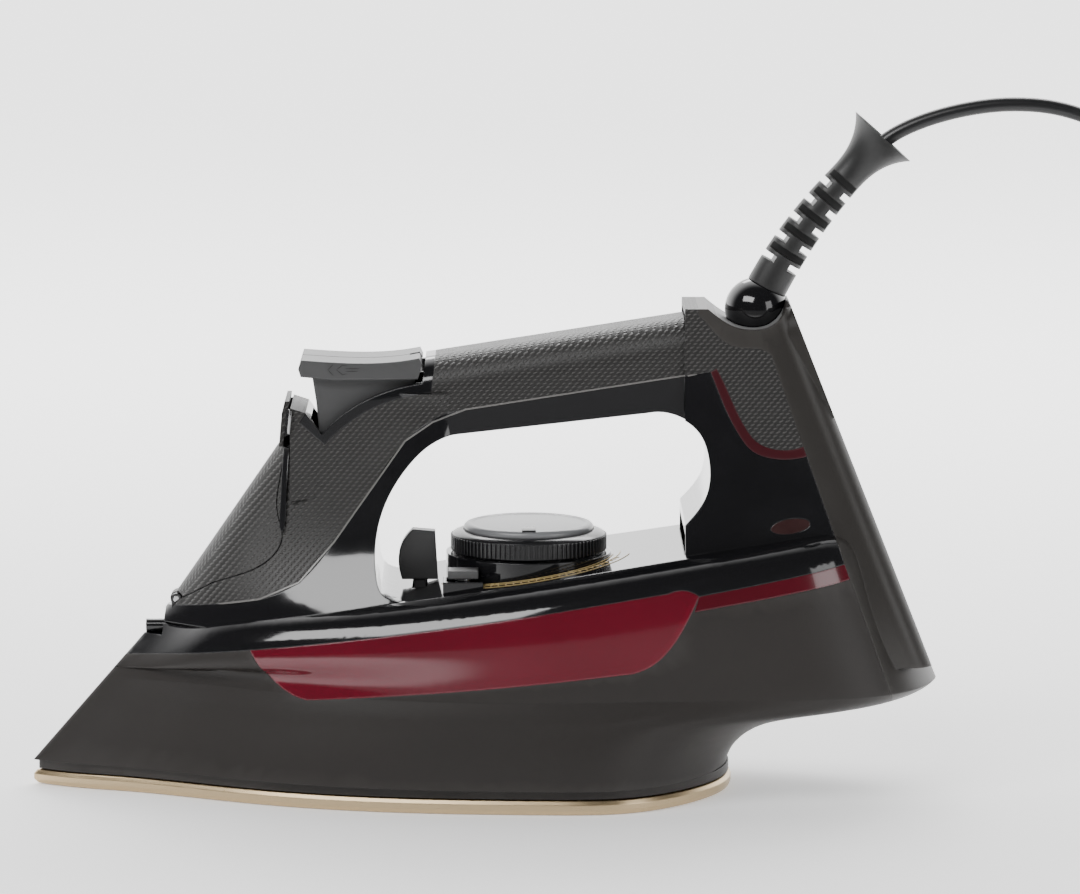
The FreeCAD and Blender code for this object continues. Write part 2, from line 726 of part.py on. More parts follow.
def heater_parts():
    element_z = CHANNEL_FLOOR_Z + ELEMENT_R
    element = pipe_run(element_path(element_z), ELEMENT_R)
    plate = plan_slab(sole_points(HEATER_INSET), SOLE_T, HEATER_TOP_Z)
    chamber = plan_slab(sole_points(CHAMBER_INSET), CHAMBER_FLOOR_Z, HEATER_TOP_Z)
    boss = upright(DIAL_X, 0, SOLE_T, HEATER_TOP_Z + LID_T, 11.0)
    reach = ELEMENT_R + CHANNEL_GAP
    channel = plan_slab(sole_points(ELEMENT_INSET - reach), CHANNEL_FLOOR_Z, HEATER_TOP_Z)
    channel = channel.cut(plan_slab(sole_points(ELEMENT_INSET + reach), 0, HEATER_TOP_Z))
    plate = plate.cut(chamber).fuse(boss).cut(channel)
    lid = plan_slab(sole_points(HEATER_INSET + 2.0), HEATER_TOP_Z, HEATER_TOP_Z + LID_T)
    lid = lid.cut(upright(DIAL_X, 0, 0, 40, 11.2)).cut(element)
    lid = lid.cut(upright(LEVER_X, 0, 0, 40, DRIP_R - 1.2)).cut(upright(STEAM_HOSE_X, STEAM_HOSE_Y, 0, 40, 1.2))
    write("heating_element", element)
    write("heating_plate", largest(plate))
    write("chamber_lid", largest(lid))
    rim = plan_slab(sole_points(RIM_INSET), SOLE_T, SKIRT_Z)
    write("base_ring", rim.cut(plan_slab(sole_points(HEATER_INSET - 1.0), 0, 20)))
    stand = HEATER_TOP_Z + LID_T
    thermostat = fuse([
        upright(DIAL_X, 0, stand, stand + 5.0, 10.0),
        box(DIAL_X - 14, DIAL_X + 14, -4, 4, stand + 5.0, stand + 6.0),
        upright(DIAL_X, 0, stand + 6.0, THERMOSTAT_TOP_Z, SHAFT_R),
    ])
    write("thermostat", thermostat)
    fuse_z = stand + 2.2
    write("thermal_fuse", crosswise(45.0, fuse_z, -12, 12, 2.2))
    return element


# ---- skirt, tank and housing ------------------------------------------------------------------
def water_tank():
    outer = form.common(side_prism(tank_runs()))
    inner = hull(TANK_WALL).common(side_prism(tank_runs(-TANK_WALL)))
    sleeve = upright(DIAL_X, 0, 0, 120, SHAFT_R + SHAFT_GAP + 1.5).common(outer)
    tank = outer.cut(inner).fuse(sleeve)
    holes = [
        upright(DIAL_X, 0, 0, 120, SHAFT_R + SHAFT_GAP),
        upright(LEVER_X, 0, 20, 50, SEAT_R),
        upright(LEVER_X, 0, 50, 70, NEEDLE_R + 0.6),
        upright(SUCTION_X, 0, 50, 70, SUCTION_R),
        neck_rod(NECK_R - NECK_WALL),
    ]
    return largest(tank.cut(Part.makeCompound(holes)))


def neck_rod(radius):
    return rod(V(*NECK_TOP), V(*NECK_FOOT), radius)


def front_liner():
    """The wall behind the fill door, with the filler neck."""
    liner_outer = pillar(WALL + LINER_GAP)
    region = side_prism(door_runs(-4.0)).common(box(-125, -50, -60, 60, DOOR_PIN_Z + 3.5, 128))
    liner = liner_outer.cut(pillar(WALL + LINER_GAP + LINER_T)).common(region)
    tube = neck_rod(NECK_R).common(liner_outer)
    tube = tube.cut(side_prism(polygon([
        (-120, belt_z(-120)), (0, belt_z(0)), (0, 0), (-120, 0),
    ])))
    liner = liner.fuse(tube).cut(neck_rod(NECK_R - NECK_WALL))
    seal = neck_rod(NECK_R + 0.6).cut(neck_rod(NECK_R - NECK_WALL))
    seal = seal.common(pillar(WALL + 0.15)).cut(liner_outer)
    write("filler_neck", largest(liner))
    write("filler_seal", largest(seal))


def button_well(region):
    """The gloss bezel round the buttons, with its well and the lug of the pivot pin."""
    low = well_rim_points(3.4)
    high = well_rim_points(0.0)
    band = [[(-58.8, 127.6), high[0]], high, [high[-1], (-18.6, 150.0)], [(-18.6, 150.0), (-15.6, 150.0)],
            [(-15.6, 150.0), (-17.4, low[-1][1])], [(-17.4, low[-1][1]), low[-1]], list(reversed(low)),
            [low[0], (-61.0, 124.4)], [(-61.0, 124.4), (-58.8, 127.6)]]
    bezel = region.common(side_prism(band))
    rest = region.cut(side_prism(band))
    inside = [(-57.2, 150.0), (-57.2, 115.5), (-41.0, 115.5), (-20.0, 128.0), (-20.0, 150.0)]
    outside = [(-58.4, 126.4), (-58.4, 114.3), (-40.6, 114.3), (-18.8, 127.2), (-18.8, 134.0),
               (-26.0, 132.6), (-46.0, 123.0), (-53.4, 117.0)]
    cup = side_prism(polygon(outside), -WELL_HALF - WELL_WALL, WELL_HALF + WELL_WALL)
    space = side_prism(polygon(inside), -WELL_HALF, WELL_HALF)
    lug = box(PIVOT_X - 2.4, -18.0, -1.3, 1.3, PIVOT_Z - 2.2, PIVOT_Z + 2.2)
    bezel = bezel.fuse(cup).cut(space).fuse(lug)
    pin = crosswise(PIVOT_X, PIVOT_Z, -12.0, 12.0, PIVOT_PIN_R)
    rods = [upright(PLUNGER_X, side * PLUNGER_Y, 100, 120, PLUNGER_R + 0.5) for side in (-1, 1)]
    bezel = bezel.cut(pin).cut(Part.makeCompound(rods))
    write("button_bezel", largest(bezel))
    write("button_pin", pin)
    return rest.cut(cup)


def buttons():
    lip = [
        [(-60.3, 144.9), (-50.0, 144.2), (-38.0, 143.9), (-21.4, 145.6)],
        [(-21.4, 145.6), (-20.4, 143.4)],
        [(-20.4, 143.4), (-21.8, 138.6)],
        [(-21.8, 138.6), (-50.0, 138.4)],
        [(-50.0, 138.4), (-60.4, 139.4)],
        [(-60.4, 139.4), (-61.2, 142.0)],
        [(-61.2, 142.0), (-60.3, 144.9)],
    ]
    wedge = polygon([
        (-56.8, 140.0), (-55.4, 131.0), (-54.4, WEDGE_Z), (-41.0, WEDGE_Z), (-23.6, 131.0), (-22.4, 140.0),
    ])
    for name, side in (("spray_button", -1), ("steam_button", 1)):
        cap_y = sorted((side * SPLIT, side * LIP_HALF))
        wedge_y = sorted((side * SPLIT, side * (WELL_HALF - 0.6)))
        button = side_prism(lip, *cap_y).fuse(side_prism(wedge, *wedge_y))
        notch = box(PIVOT_X - 3.2, -10.0, -1.7, 1.7, PIVOT_Z - 4.0, PIVOT_Z + 5.0)
        bore = crosswise(PIVOT_X, PIVOT_Z, -12.3, 12.3, PIVOT_PIN_R + PIN_GAP)
        write(name, largest(button.cut(notch).cut(bore)))
    floor_z = PUMP_BOTTOM_Z + PUMP_FLOOR_T
    piston_z = floor_z + SPRING_L
    bore_r = PUMP_R - PUMP_WALL
    pumps = []
    for name, side in (("spray", -1), ("steam", 1)):
        y = side * PLUNGER_Y
        pump = upright(PLUNGER_X, y, PUMP_BOTTOM_Z, PUMP_TOP_Z, PUMP_R)
        pumps.append(pump.cut(upright(PLUNGER_X, y, floor_z, PUMP_TOP_Z + 1.0, bore_r)))
        plunger = upright(PLUNGER_X, y, piston_z, piston_z + PISTON_L, bore_r - PISTON_GAP)
        plunger = plunger.fuse(upright(PLUNGER_X, y, piston_z, WEDGE_Z - PISTON_GAP, PLUNGER_R))
        write(name + "_plunger", plunger)
        write(name + "_spring", coil_spring(PLUNGER_X, y, floor_z, piston_z, PUMP_SPRING_R, 4))
    write("pump_cylinders", Part.makeCompound(pumps))
    cradle = core.common(box(-62, -39, -60, 60, PUMP_BOTTOM_Z - CRADLE_T, PUMP_BOTTOM_Z))
    write("pump_cradle", largest(cradle.cut(upright(SUCTION_X, 0, 70, 90, 1.2))))


def hoses():
    y = -PLUNGER_Y
    above_cradle = box(-150, 150, -60, 60, PUMP_BOTTOM_Z - CRADLE_T, 200)
    low = [(PLUNGER_X, y, PUMP_BOTTOM_Z - CRADLE_T), (-51, -12, 70), (-60, -13, belt_z(-60) + 3.2),
           (-90, -7, belt_z(-90) + 3.2), (-100, 0, belt_z(-100) + 3.4)]
    write("spray_hose", pipe_run(low, HOSE_R).cut(above_cradle))
    write("spray_nozzle", nozzle())
    high = [(PLUNGER_X, -y, PUMP_BOTTOM_Z - CRADLE_T), (-58, 13, 64), (-81.5, 9, 51.5),
            (STEAM_HOSE_X, STEAM_HOSE_Y, 44), (STEAM_HOSE_X, STEAM_HOSE_Y, HEATER_TOP_Z + LID_T)]
    write("steam_hose", pipe_run(high, HOSE_R).cut(above_cradle))
    suction = upright(SUCTION_X, 0, belt_z(SUCTION_X) - 14.0, PUMP_BOTTOM_Z - CRADLE_T, SUCTION_R)
    write("suction_tube", suction.cut(upright(SUCTION_X, 0, 0, 90, SUCTION_R - 0.8)))


def nozzle():
    tip = V(-113.0, 0, NOZZLE_Z)
    start = V(-105.2, 0, NOZZLE_Z)
    body = rod(start, tip, NOZZLE_R)
    return body.cut(rod(V(-114, 0, NOZZLE_Z), V(-108, 0, NOZZLE_Z), 0.6))


# ---- dial, lever, valve and self-clean key ----------------------------------------------------
def knurl(radius, z0, z1):
    points = []
    for i in range(2 * DIAL_TEETH):
        r = radius - DIAL_TOOTH_DEPTH * (i % 2)
        angle = math.pi * i / DIAL_TEETH
        points.append(V(DIAL_X + r * math.cos(angle), r * math.sin(angle), z0))
    return Part.Face(Part.makePolygon(points + [points[0]])).extrude(V(0, 0, z1 - z0))


def dial_parts():
    shaft = upright(DIAL_X, 0, THERMOSTAT_TOP_Z + 0.3, DIAL_Z + DIAL_T - 1.0, SHAFT_R)
    ring = knurl(DIAL_R, DIAL_Z, DIAL_Z + DIAL_T - 1.2)
    ring = ring.fuse(Part.makeCone(DIAL_R - DIAL_TOOTH_DEPTH, CAP_R + 1.2, 1.2,
                                   V(DIAL_X, 0, DIAL_Z + DIAL_T - 1.2), Z_AXIS))
    cap = Part.makeCone(CAP_R, CAP_R - 1.0, CAP_T, V(DIAL_X, 0, DIAL_Z + DIAL_T - 0.6), Z_AXIS)
    pointer = box(DIAL_X - 2.6, DIAL_X + 2.6, -CAP_R + 0.5, -CAP_R + 9.0, DIAL_Z + DIAL_T, DIAL_Z + DIAL_T + CAP_T + 0.8)
    cap = cap.fuse(pointer)
    write("dial_shaft", shaft)
    write("temperature_dial", largest(ring.cut(cap).cut(shaft)))
    write("dial_cap", largest(cap.cut(shaft)))
    base = upright(DIAL_X, 0, 60.0, DIAL_Z - 0.4, DIAL_R + 1.5).cut(below_deck())
    write("dial_base", largest(base.cut(upright(DIAL_X, 0, 50, 90, SHAFT_R + SHAFT_GAP))))


def below_deck():
    return side_prism(polygon([(-170, deck_z(-170)), (170, deck_z(170)), (170, -50), (-170, -50)]))


def under_deck_z(x):
    return deck_z(x) - WALL


def lever_parts():
    foot_top = under_deck_z(LEVER_X - LEVER_W) - 0.5
    base_z = deck_z(LEVER_X + 0.5 * LEVER_L) + 0.4
    tab = side_prism([
        [(LEVER_X - 0.5 * LEVER_L, base_z), (LEVER_X - 0.42 * LEVER_L, LEVER_TOP_Z - 3.0),
         (LEVER_X - 0.2 * LEVER_L, LEVER_TOP_Z)],
        [(LEVER_X - 0.2 * LEVER_L, LEVER_TOP_Z), (LEVER_X + 0.42 * LEVER_L, LEVER_TOP_Z - 0.6)],
        [(LEVER_X + 0.42 * LEVER_L, LEVER_TOP_Z - 0.6), (LEVER_X + 0.5 * LEVER_L, base_z)],
        [(LEVER_X + 0.5 * LEVER_L, base_z), (LEVER_X - 0.5 * LEVER_L, base_z)],
    ], -0.5 * LEVER_W, 0.5 * LEVER_W)
    stem = box(LEVER_X - 2.0, LEVER_X + 2.0, -2.0, 2.0, foot_top - 2.0, base_z + 1.0)
    foot = box(LEVER_X - 4.0, LEVER_X + 4.0, -5.0, 5.0, foot_top - 2.4, foot_top)
    write("steam_lever", fuse([tab, stem, foot]))
    seat_z = 36.2
    seat = upright(LEVER_X, 0, seat_z, 44.0, SEAT_R)
    seat = seat.cut(upright(LEVER_X, 0, 0, 60, 1.2)).cut(
        Part.makeCone(1.2, 3.2, 4.0, V(LEVER_X, 0, 40.5), Z_AXIS))
    write("valve_seat", seat)
    tip = Part.makeCone(0.5, NEEDLE_R, 3.0, V(LEVER_X, 0, 41.5), Z_AXIS)
    write("valve_needle", tip.fuse(upright(LEVER_X, 0, 44.5, foot_top - 3.6, NEEDLE_R)))
    drip = upright(LEVER_X, 0, HEATER_TOP_Z + LID_T, seat_z, DRIP_R)
    write("drip_tube", drip.cut(upright(LEVER_X, 0, 0, 60, DRIP_R - 1.2)))


def clean_parts():
    top = deck_z(CLEAN_X)
    low = deck_z(CLEAN_X - 6.5)
    frame = box(CLEAN_X - 6.6, CLEAN_X + 6.6, CLEAN_Y - 5.6, CLEAN_Y + 5.6, low - 3.0, top + 3.2)
    frame = frame.cut(box(CLEAN_X - 5.4, CLEAN_X + 5.4, CLEAN_Y - 4.4, CLEAN_Y + 4.4, 0, 100)).cut(below_deck())
    frame = frame.cut(upright(DIAL_X, 0, 50, 100, DIAL_R + 1.7))
    write("clean_bezel", largest(frame))
    cap = box(CLEAN_X - 5.0, CLEAN_X + 5.0, CLEAN_Y - 4.0, CLEAN_Y + 4.0, top + 4.0, top + 6.6)
    stem = upright(CLEAN_X, CLEAN_Y, top - 4.6, top + 4.5, 1.6)
    washer = upright(CLEAN_X, CLEAN_Y, top - 4.6, top - 3.4, 2.6)
    write("self_clean_key", fuse([cap, stem, washer]))
    write("clean_spring", coil_spring(CLEAN_X, CLEAN_Y, deck_z(CLEAN_X + 3.0) + 0.1, top + 4.0, 2.2, 3))


def deck_cuts():
    """Holes in the deck for the shaft, the lever's stem and the key's stem."""
    slot = box(LEVER_X - 2.5, LEVER_X + 2.5, -LEVER_TRAVEL - 2.6, LEVER_TRAVEL + 2.6, 60, 90)
    return Part.makeCompound([
        upright(DIAL_X, 0, 60, 90, SHAFT_R + SHAFT_GAP),
        slot,
        upright(CLEAN_X, CLEAN_Y, 60, 90, 2.0),
    ])


# ---- heel: ball, boot, socket and electrics ---------------------------------------------------
def along(distance):
    """A point on the boot's middle line, which bends over as it leaves the ball."""
    count = max(1, round(distance / 2.0))
    step = distance / count
    x, z = BALL_X, BALL_Z
    for i in range(count):
        a = boot_angle((i + 0.5) * step)
        x += step * math.cos(a)
        z += step * math.sin(a)
    return V(x, 0, z)


def boot_angle(distance):
    share = min(distance / NECK_AT, 1.0)
    return math.radians(BOOT_START_DEG + (BOOT_END_DEG - BOOT_START_DEG) * share)


def boot_ring(distance, radius):
    a = boot_angle(distance)
    return Part.Wire([Part.makeCircle(radius, along(distance), V(math.cos(a), 0, math.sin(a)))])


def boot_parts():
    flare = ((NECK_AT + 10.5, BOOT_NECK_R + 0.4), (NECK_AT + 17.0, 8.4), (BOOT_LENGTH, MOUTH_R))
    rings = [boot_ring(8.0, BOOT_BASE_R), boot_ring(20.0, BOOT_BASE_R - 0.2), boot_ring(34.0, 6.2),
             boot_ring(NECK_AT, BOOT_NECK_R)]
    rings += [boot_ring(distance, radius) for distance, radius in flare]
    boot = Part.makeLoft(rings, True)
    cup_floor = BOOT_LENGTH - CUP_DEPTH
    cup = Part.makeLoft([
        boot_ring(cup_floor, CORD_R + 0.5), boot_ring(cup_floor + 6.0, 6.6), boot_ring(BOOT_LENGTH + 0.5, MOUTH_R - 0.8),
    ], True)
    boot = boot.cut(cup)
    slots = []
    for i in range(SLOT_COUNT):
        for shift, direction in ((0.0, 0), (0.5 * SLOT_PITCH, 1)):
            distance = 17.5 + i * SLOT_PITCH + shift
            slots += slot_pair(distance, direction)
    boot = boot.cut(Part.makeCompound(slots))
    ball = Part.makeSphere(BALL_R, V(BALL_X, 0, BALL_Z))
    write("cord_boot", largest(boot.cut(ball)))
    write("cord_ball", ball.cut(rod(V(BALL_X, 0, BALL_Z - 20), V(BALL_X, 0, BALL_Z), CORD_R)))


def cover_screw(side):
    """One screw that holds the rear cover to the bulkhead, with its head sunk in the cover."""
    y = side * SCREW_Y
    head_x = heel_x(SCREW_Z) - SCREW_SINK
    tip_x = seam_x(SCREW_Z) - 9.0
    head = rod(V(head_x - SCREW_HEAD_T, y, SCREW_Z), V(head_x, y, SCREW_Z), SCREW_HEAD_R)
    slot = box(head_x - 0.9, head_x + 1.0, y - 0.4, y + 0.4, SCREW_Z - 2.2, SCREW_Z + 2.2)
    shank = rod(V(tip_x, y, SCREW_Z), V(head_x - SCREW_HEAD_T, y, SCREW_Z), SCREW_R)
    return head.fuse(shank).cut(slot)


def cover_posts():
    """The posts inside the rear cover that the screws pass through."""
    posts = []
    for side in (-1, 1):
        y = side * SCREW_Y
        post = rod(V(seam_x(SCREW_Z) - 8.0, y, SCREW_Z), V(heel_x(SCREW_Z) + 6.0, y, SCREW_Z), POST_R)
        posts.append(post.common(form).cut(seam_block(40.0, 80.0, -20.0, -3.6, 60)))
    return posts


def sink_holes():
    holes = []
    for side in (-1, 1):
        start = V(heel_x(SCREW_Z) - SCREW_SINK - SCREW_HEAD_T, side * SCREW_Y, SCREW_Z)
        holes.append(rod(start, start.add(V(20, 0, 0)), SCREW_HEAD_R + 0.2))
    return Part.makeCompound(holes)


def slot_pair(distance, direction):
    """Two slots across the boot, on opposite sides, that leave a web between them."""
    a = boot_angle(distance)
    middle = along(distance)
    pair = []
    for side in (-1, 1):
        block = Part.makeBox(SLOT_W, 20, 20, V(-SLOT_W / 2, -10, 0))
        block.translate(V(0, 0, 2.6))
        if direction:
            block.rotate(V(0, 0, 0), V(1, 0, 0), 90 * side)
        elif side > 0:
            block.rotate(V(0, 0, 0), V(1, 0, 0), 180)
        block.rotate(V(0, 0, 0), V(0, 1, 0), -math.degrees(a))
        block.translate(middle)
        pair.append(block)
    return pair


def heel_parts(screws, element):
    under_saddle = core.common(box(74, 112, -60, 60, 144.0, 170)).cut(side_prism(saddle_runs()))
    socket = under_saddle.cut(Part.makeSphere(BALL_R + BALL_GAP, V(BALL_X, 0, BALL_Z)))
    write("cord_socket", largest(socket.cut(upright(BALL_X, 0, 120, 160, 4.5))))
    bulkhead = core.common(seam_block(46.0, 140.0, -6.0, -3.6, 60))
    bulkhead = bulkhead.cut(side_prism(opening_runs(WALL)))
    window = seam_block(47.5, 57.0, -8.0, 0.0, 12.5)
    write("rear_bulkhead", largest(bulkhead.cut(window).cut(screws)))
    write("auto_off_board", seam_block(84.0, 116.0, -3.6, -1.8, 15.0))
    block_x = seam_x(0.5 * (TERMINALS_LOW_Z + TERMINALS_TOP_Z)) + 2.0
    clamp_x = seam_x(0.5 * (CLAMP_LOW_Z + CLAMP_TOP_Z)) + 0.5
    leads = []
    for y in (-4.0, 0.0, 4.0):
        leads.append(pipe_run([
            (clamp_x, y, CLAMP_LOW_Z), (clamp_x + 3.0, y, 120.0), (seam_x(80.0) + 3.0, y, 78.0),
            (block_x, y, TERMINALS_TOP_Z),
        ], LEAD_R))
    mains = Part.makeCompound(leads)
    write("mains_leads", mains)
    end = element_path(11.0)[0]
    start_x = seam_x(TERMINALS_LOW_Z)
    pair = []
    for side in (-1, 1):
        y_end = side * end[1]
        pair.append(pipe_run([
            (start_x, side * 8.0, TERMINALS_LOW_Z), (start_x - 8.0, side * 9.0, 44.0), (92.0, side * 20.0, 33.0),
            (end[0] + 6.0, y_end, 29.0), (end[0], y_end, end[2]),
        ], LEAD_R))
    sleeved = Part.makeCompound([largest(lead.cut(element)) for lead in pair])
    write("heater_leads", sleeved)
    terminals = seam_block(TERMINALS_LOW_Z, TERMINALS_TOP_Z, -3.6, 6.4, 13.0)
    write("terminal_block", largest(terminals.cut(mains).cut(sleeved)))
    write("cord_clamp", largest(seam_block(CLAMP_LOW_Z, CLAMP_TOP_Z, -3.6, 4.0, 8.0).cut(mains)))


# ---- cord ------------------------------------------------------------------------------------


def tube_path(points):
    """Straight runs joined by arcs as large as the runs allow."""
    edges = []
    start = points[0]
    smallest = 1e9
    for i in range(1, len(points) - 1):
        before = points[i].sub(points[i - 1])
        after = points[i + 1].sub(points[i])
        turn = before.getAngle(after)
        cut = 0.45 * min(before.Length, after.Length)
        smallest = min(smallest, cut / math.tan(turn / 2))
        u = V(before).normalize()
        w = V(after).normalize()
        p0 = points[i].sub(u * cut)
        p1 = points[i].add(w * cut)
        bisector = V(w.sub(u)).normalize()
        radius = cut / math.tan(turn / 2)
        centre = points[i].add(bisector * (radius / math.cos(turn / 2)))
        middle = centre.sub(bisector * radius)
        edges.append(Part.LineSegment(start, p0).toShape())
        edges.append(Part.Arc(p0, middle, p1).toShape())
        start = p1
    edges.append(Part.LineSegment(start, points[-1]).toShape())
    print("tightest bend", round(smallest, 1), "mm")
    return Part.Wire(edges)


def tube_along(points):
    path = tube_path([V(*p) for p in points])
    direction = V(*points[1]).sub(V(*points[0]))
    profile = Part.Wire([Part.makeCircle(CORD_R, V(*points[0]), direction)])
    tube = path.makePipeShell([profile], True, True)
    expected = math.pi * CORD_R ** 2 * path.Length
    print("tube", round(path.Length, 1), "mm long, volume share", round(tube.Volume / expected, 4))
    return tube


def cord_parts():
    exit_point = along(BOOT_LENGTH - CUP_DEPTH + CORD_GAP)
    floor_z = CORD_R + FLOOR_GAP
    land_x = COIL_X - COIL_STUB
    route = [tuple(exit_point)] + list(CORD_ROUTE) + [(land_x, 0, floor_z)]
    write("cord_tube", tube_along(route))
    ring = upright(COIL_X, COIL_Y, FLOOR_GAP, FLOOR_GAP + COIL_H, COIL_OUT_R)
    ring = ring.cut(upright(COIL_X, COIL_Y, 0, 2 * COIL_H, COIL_IN_R))
    rims = [edge for edge in ring.Edges if edge.BoundBox.ZLength < 0.01]
    ring = ring.makeFillet(COIL_EDGE, rims)
    entry = rod(V(land_x, 0, floor_z), V(COIL_X, 0, floor_z), CORD_R)
    tail_y = COIL_Y + COIL_OUT_R - CORD_R
    tail_end = V(COIL_X - COIL_TAIL, tail_y, floor_z)
    tail = rod(V(COIL_X, tail_y, floor_z), tail_end, CORD_R)
    band_x = COIL_X - COIL_OUT_R - TIE_T
    half_w = TIE_W / 2
    low, high = FLOOR_GAP / 2, COIL_H + 1.5 * FLOOR_GAP
    band = box(band_x, COIL_X - COIL_IN_R + TIE_T, COIL_Y - half_w, COIL_Y + half_w, low, high)
    inner = box(band_x + TIE_T, COIL_X - COIL_IN_R, COIL_Y - TIE_W, COIL_Y + TIE_W, low + TIE_T, high - TIE_T)
    tie = band.cut(inner)
    write("cord_coil", largest(fuse([ring, entry, tail]).cut(tie)))
    write("coil_tie", tie)
    plug_parts(tail_end)


def plug_parts(start):
    """The plug, made along +Y from the origin and then turned to point along -X from where the cord ends."""
    relief = Part.makeCone(CORD_R + 0.9, CORD_R + 2.4, RELIEF_L, V(0, 0, 1.8), Y_AXIS)
    relief = relief.common(box(-PLUG_W, PLUG_W, -1, PLUG_L, -CORD_R, PLUG_H))
    base = -CORD_R
    body_y = RELIEF_L - RELIEF_LAP
    body = box(-PLUG_W / 2, PLUG_W / 2, body_y, body_y + PLUG_L, base, base + PLUG_H)
    body = body.makeFillet(PLUG_EDGE, [edge for edge in body.Edges if edge.BoundBox.YLength > 0.8 * PLUG_L])
    blades = []
    middle_z = base + PLUG_H / 2
    for side, width in zip((-1, 1), PIN_WIDTHS):
        blade_x = side * PIN_PITCH / 2
        blades.append(box(
            blade_x - PIN_T / 2, blade_x + PIN_T / 2, body_y + PLUG_L, body_y + PLUG_L + PIN_L,
            middle_z - width / 2, middle_z + width / 2))
    for name, shape in (("plug_body", largest(body.fuse(relief))), ("plug_pins", Part.makeCompound(blades))):
        shape.rotate(V(0, 0, 0), Z_AXIS, 90)
        shape.translate(start)
        write(name, shape)


# ---- the parts, written one by one ------------------------------------------------------------
os.makedirs("parts", exist_ok=True)

form = outer_form()
core = outer_form(WALL)
shell = form.cut(core)

write("soleplate", soleplate())
element = heater_parts()

saddle = side_prism(saddle_runs())
cover_side = side_prism(cover_runs())
ball_space = Part.makeSphere(BALL_R + BALL_GAP, V(BALL_X, 0, BALL_Z))
cover = shell.common(cover_side).cut(saddle).cut(ball_space)
rest = shell.cut(cover_side).cut(side_prism(tank_runs())).cut(saddle)
screws = Part.makeCompound([cover_screw(-1), cover_screw(1)])
write("cover_screws", screws)
write("rear_cover", largest(cover.fuse(cover_posts()).cut(sink_holes()).cut(screws)))

for name, runs in (("side_strips", strip_runs()), ("grip_trims", trim_runs())):
    pieces = rest.common(side_prism(runs))
    rest = rest.cut(side_prism(runs))
    write(name, Part.makeCompound([solid for solid in pieces.Solids if solid.Volume > SLIVER]))

below_belt = side_prism(below_belt_runs())
write("lower_skirt", largest(rest.common(below_belt)))
rest = rest.cut(below_belt)

knuckle = crosswise(DOOR_PIN_X, DOOR_PIN_Z, -KNUCKLE_HALF, KNUCKLE_HALF, KNUCKLE_R)
knuckle_space = crosswise(DOOR_PIN_X, DOOR_PIN_Z, -KNUCKLE_HALF - SEAM, KNUCKLE_HALF + SEAM, KNUCKLE_R + SEAM)
door_pin = crosswise(DOOR_PIN_X, DOOR_PIN_Z, -LUG_OUT, LUG_OUT, DOOR_PIN_R)
door = rest.common(side_prism(door_runs(SEAM)))
fin = side_prism(polygon([
    (-67.8, 116.0), (-66.8, 127.0), (-65.8, 131.0), (-64.3, 131.0), (-66.1, 116.0),
]), -13.0, 13.0)
door = largest(door).fuse([knuckle, fin]).cut(crosswise(DOOR_PIN_X, DOOR_PIN_Z, -9, 9, DOOR_PIN_R + PIN_GAP))
lug_space = crosswise(DOOR_PIN_X, DOOR_PIN_Z, KNUCKLE_HALF, 12, KNUCKLE_R + SEAM)
left_lug_space = crosswise(DOOR_PIN_X, DOOR_PIN_Z, -12, -KNUCKLE_HALF, KNUCKLE_R + SEAM)
write("fill_door", largest(door.cut(lug_space).cut(left_lug_space)))
write("door_hinge_pin", door_pin)
rest = rest.cut(side_prism(door_runs())).cut(knuckle_space).cut(door_pin)

rest = button_well(rest)
lugs = []
for side in (-1, 1):
    y0, y1 = sorted((side * (KNUCKLE_HALF + SEAM), side * LUG_OUT))
    lugs.append(crosswise(DOOR_PIN_X, DOOR_PIN_Z, y0, y1, KNUCKLE_R - 0.2))
    lugs.append(box(DOOR_PIN_X - 1.6, DOOR_PIN_X + 1.6, y0, y1, 58.5, DOOR_PIN_Z))
grip = rest.common(side_prism(grip_runs())).cut(Part.makeCompound(lugs))
write("handle_grip", largest(grip))
housing = largest(rest.cut(side_prism(grip_runs())).cut(deck_cuts())).fuse(lugs).cut(door_pin)
lens_hole = lens_prism()
write("indicator_lens", largest(housing.common(lens_hole)))
write("upper_housing", largest(housing.cut(lens_hole).cut(nozzle())))

write("water_tank", water_tank())
front_liner()
write("heat_shield", largest(core.common(box(-160, 160, -80, 80, SHIELD_Z, SHIELD_Z + SHIELD_T)).cut(
    Part.makeCompound([
        upright(DIAL_X, 0, 0, 60, SHAFT_R + SHAFT_GAP),
        upright(LEVER_X, 0, 0, 60, DRIP_R + 0.3),
        upright(STEAM_HOSE_X, STEAM_HOSE_Y, 0, 60, HOSE_R + 0.3),
        box(ELEMENT_END_X - 12.0, ELEMENT_END_X + 14.0, 24.0, 46.0, 0, 60),
        box(ELEMENT_END_X - 12.0, ELEMENT_END_X + 14.0, -46.0, -24.0, 0, 60),
    ]))))
buttons()
hoses()
dial_parts()
lever_parts()
clean_parts()
boot_parts()
heel_parts(screws, element)
cord_parts()
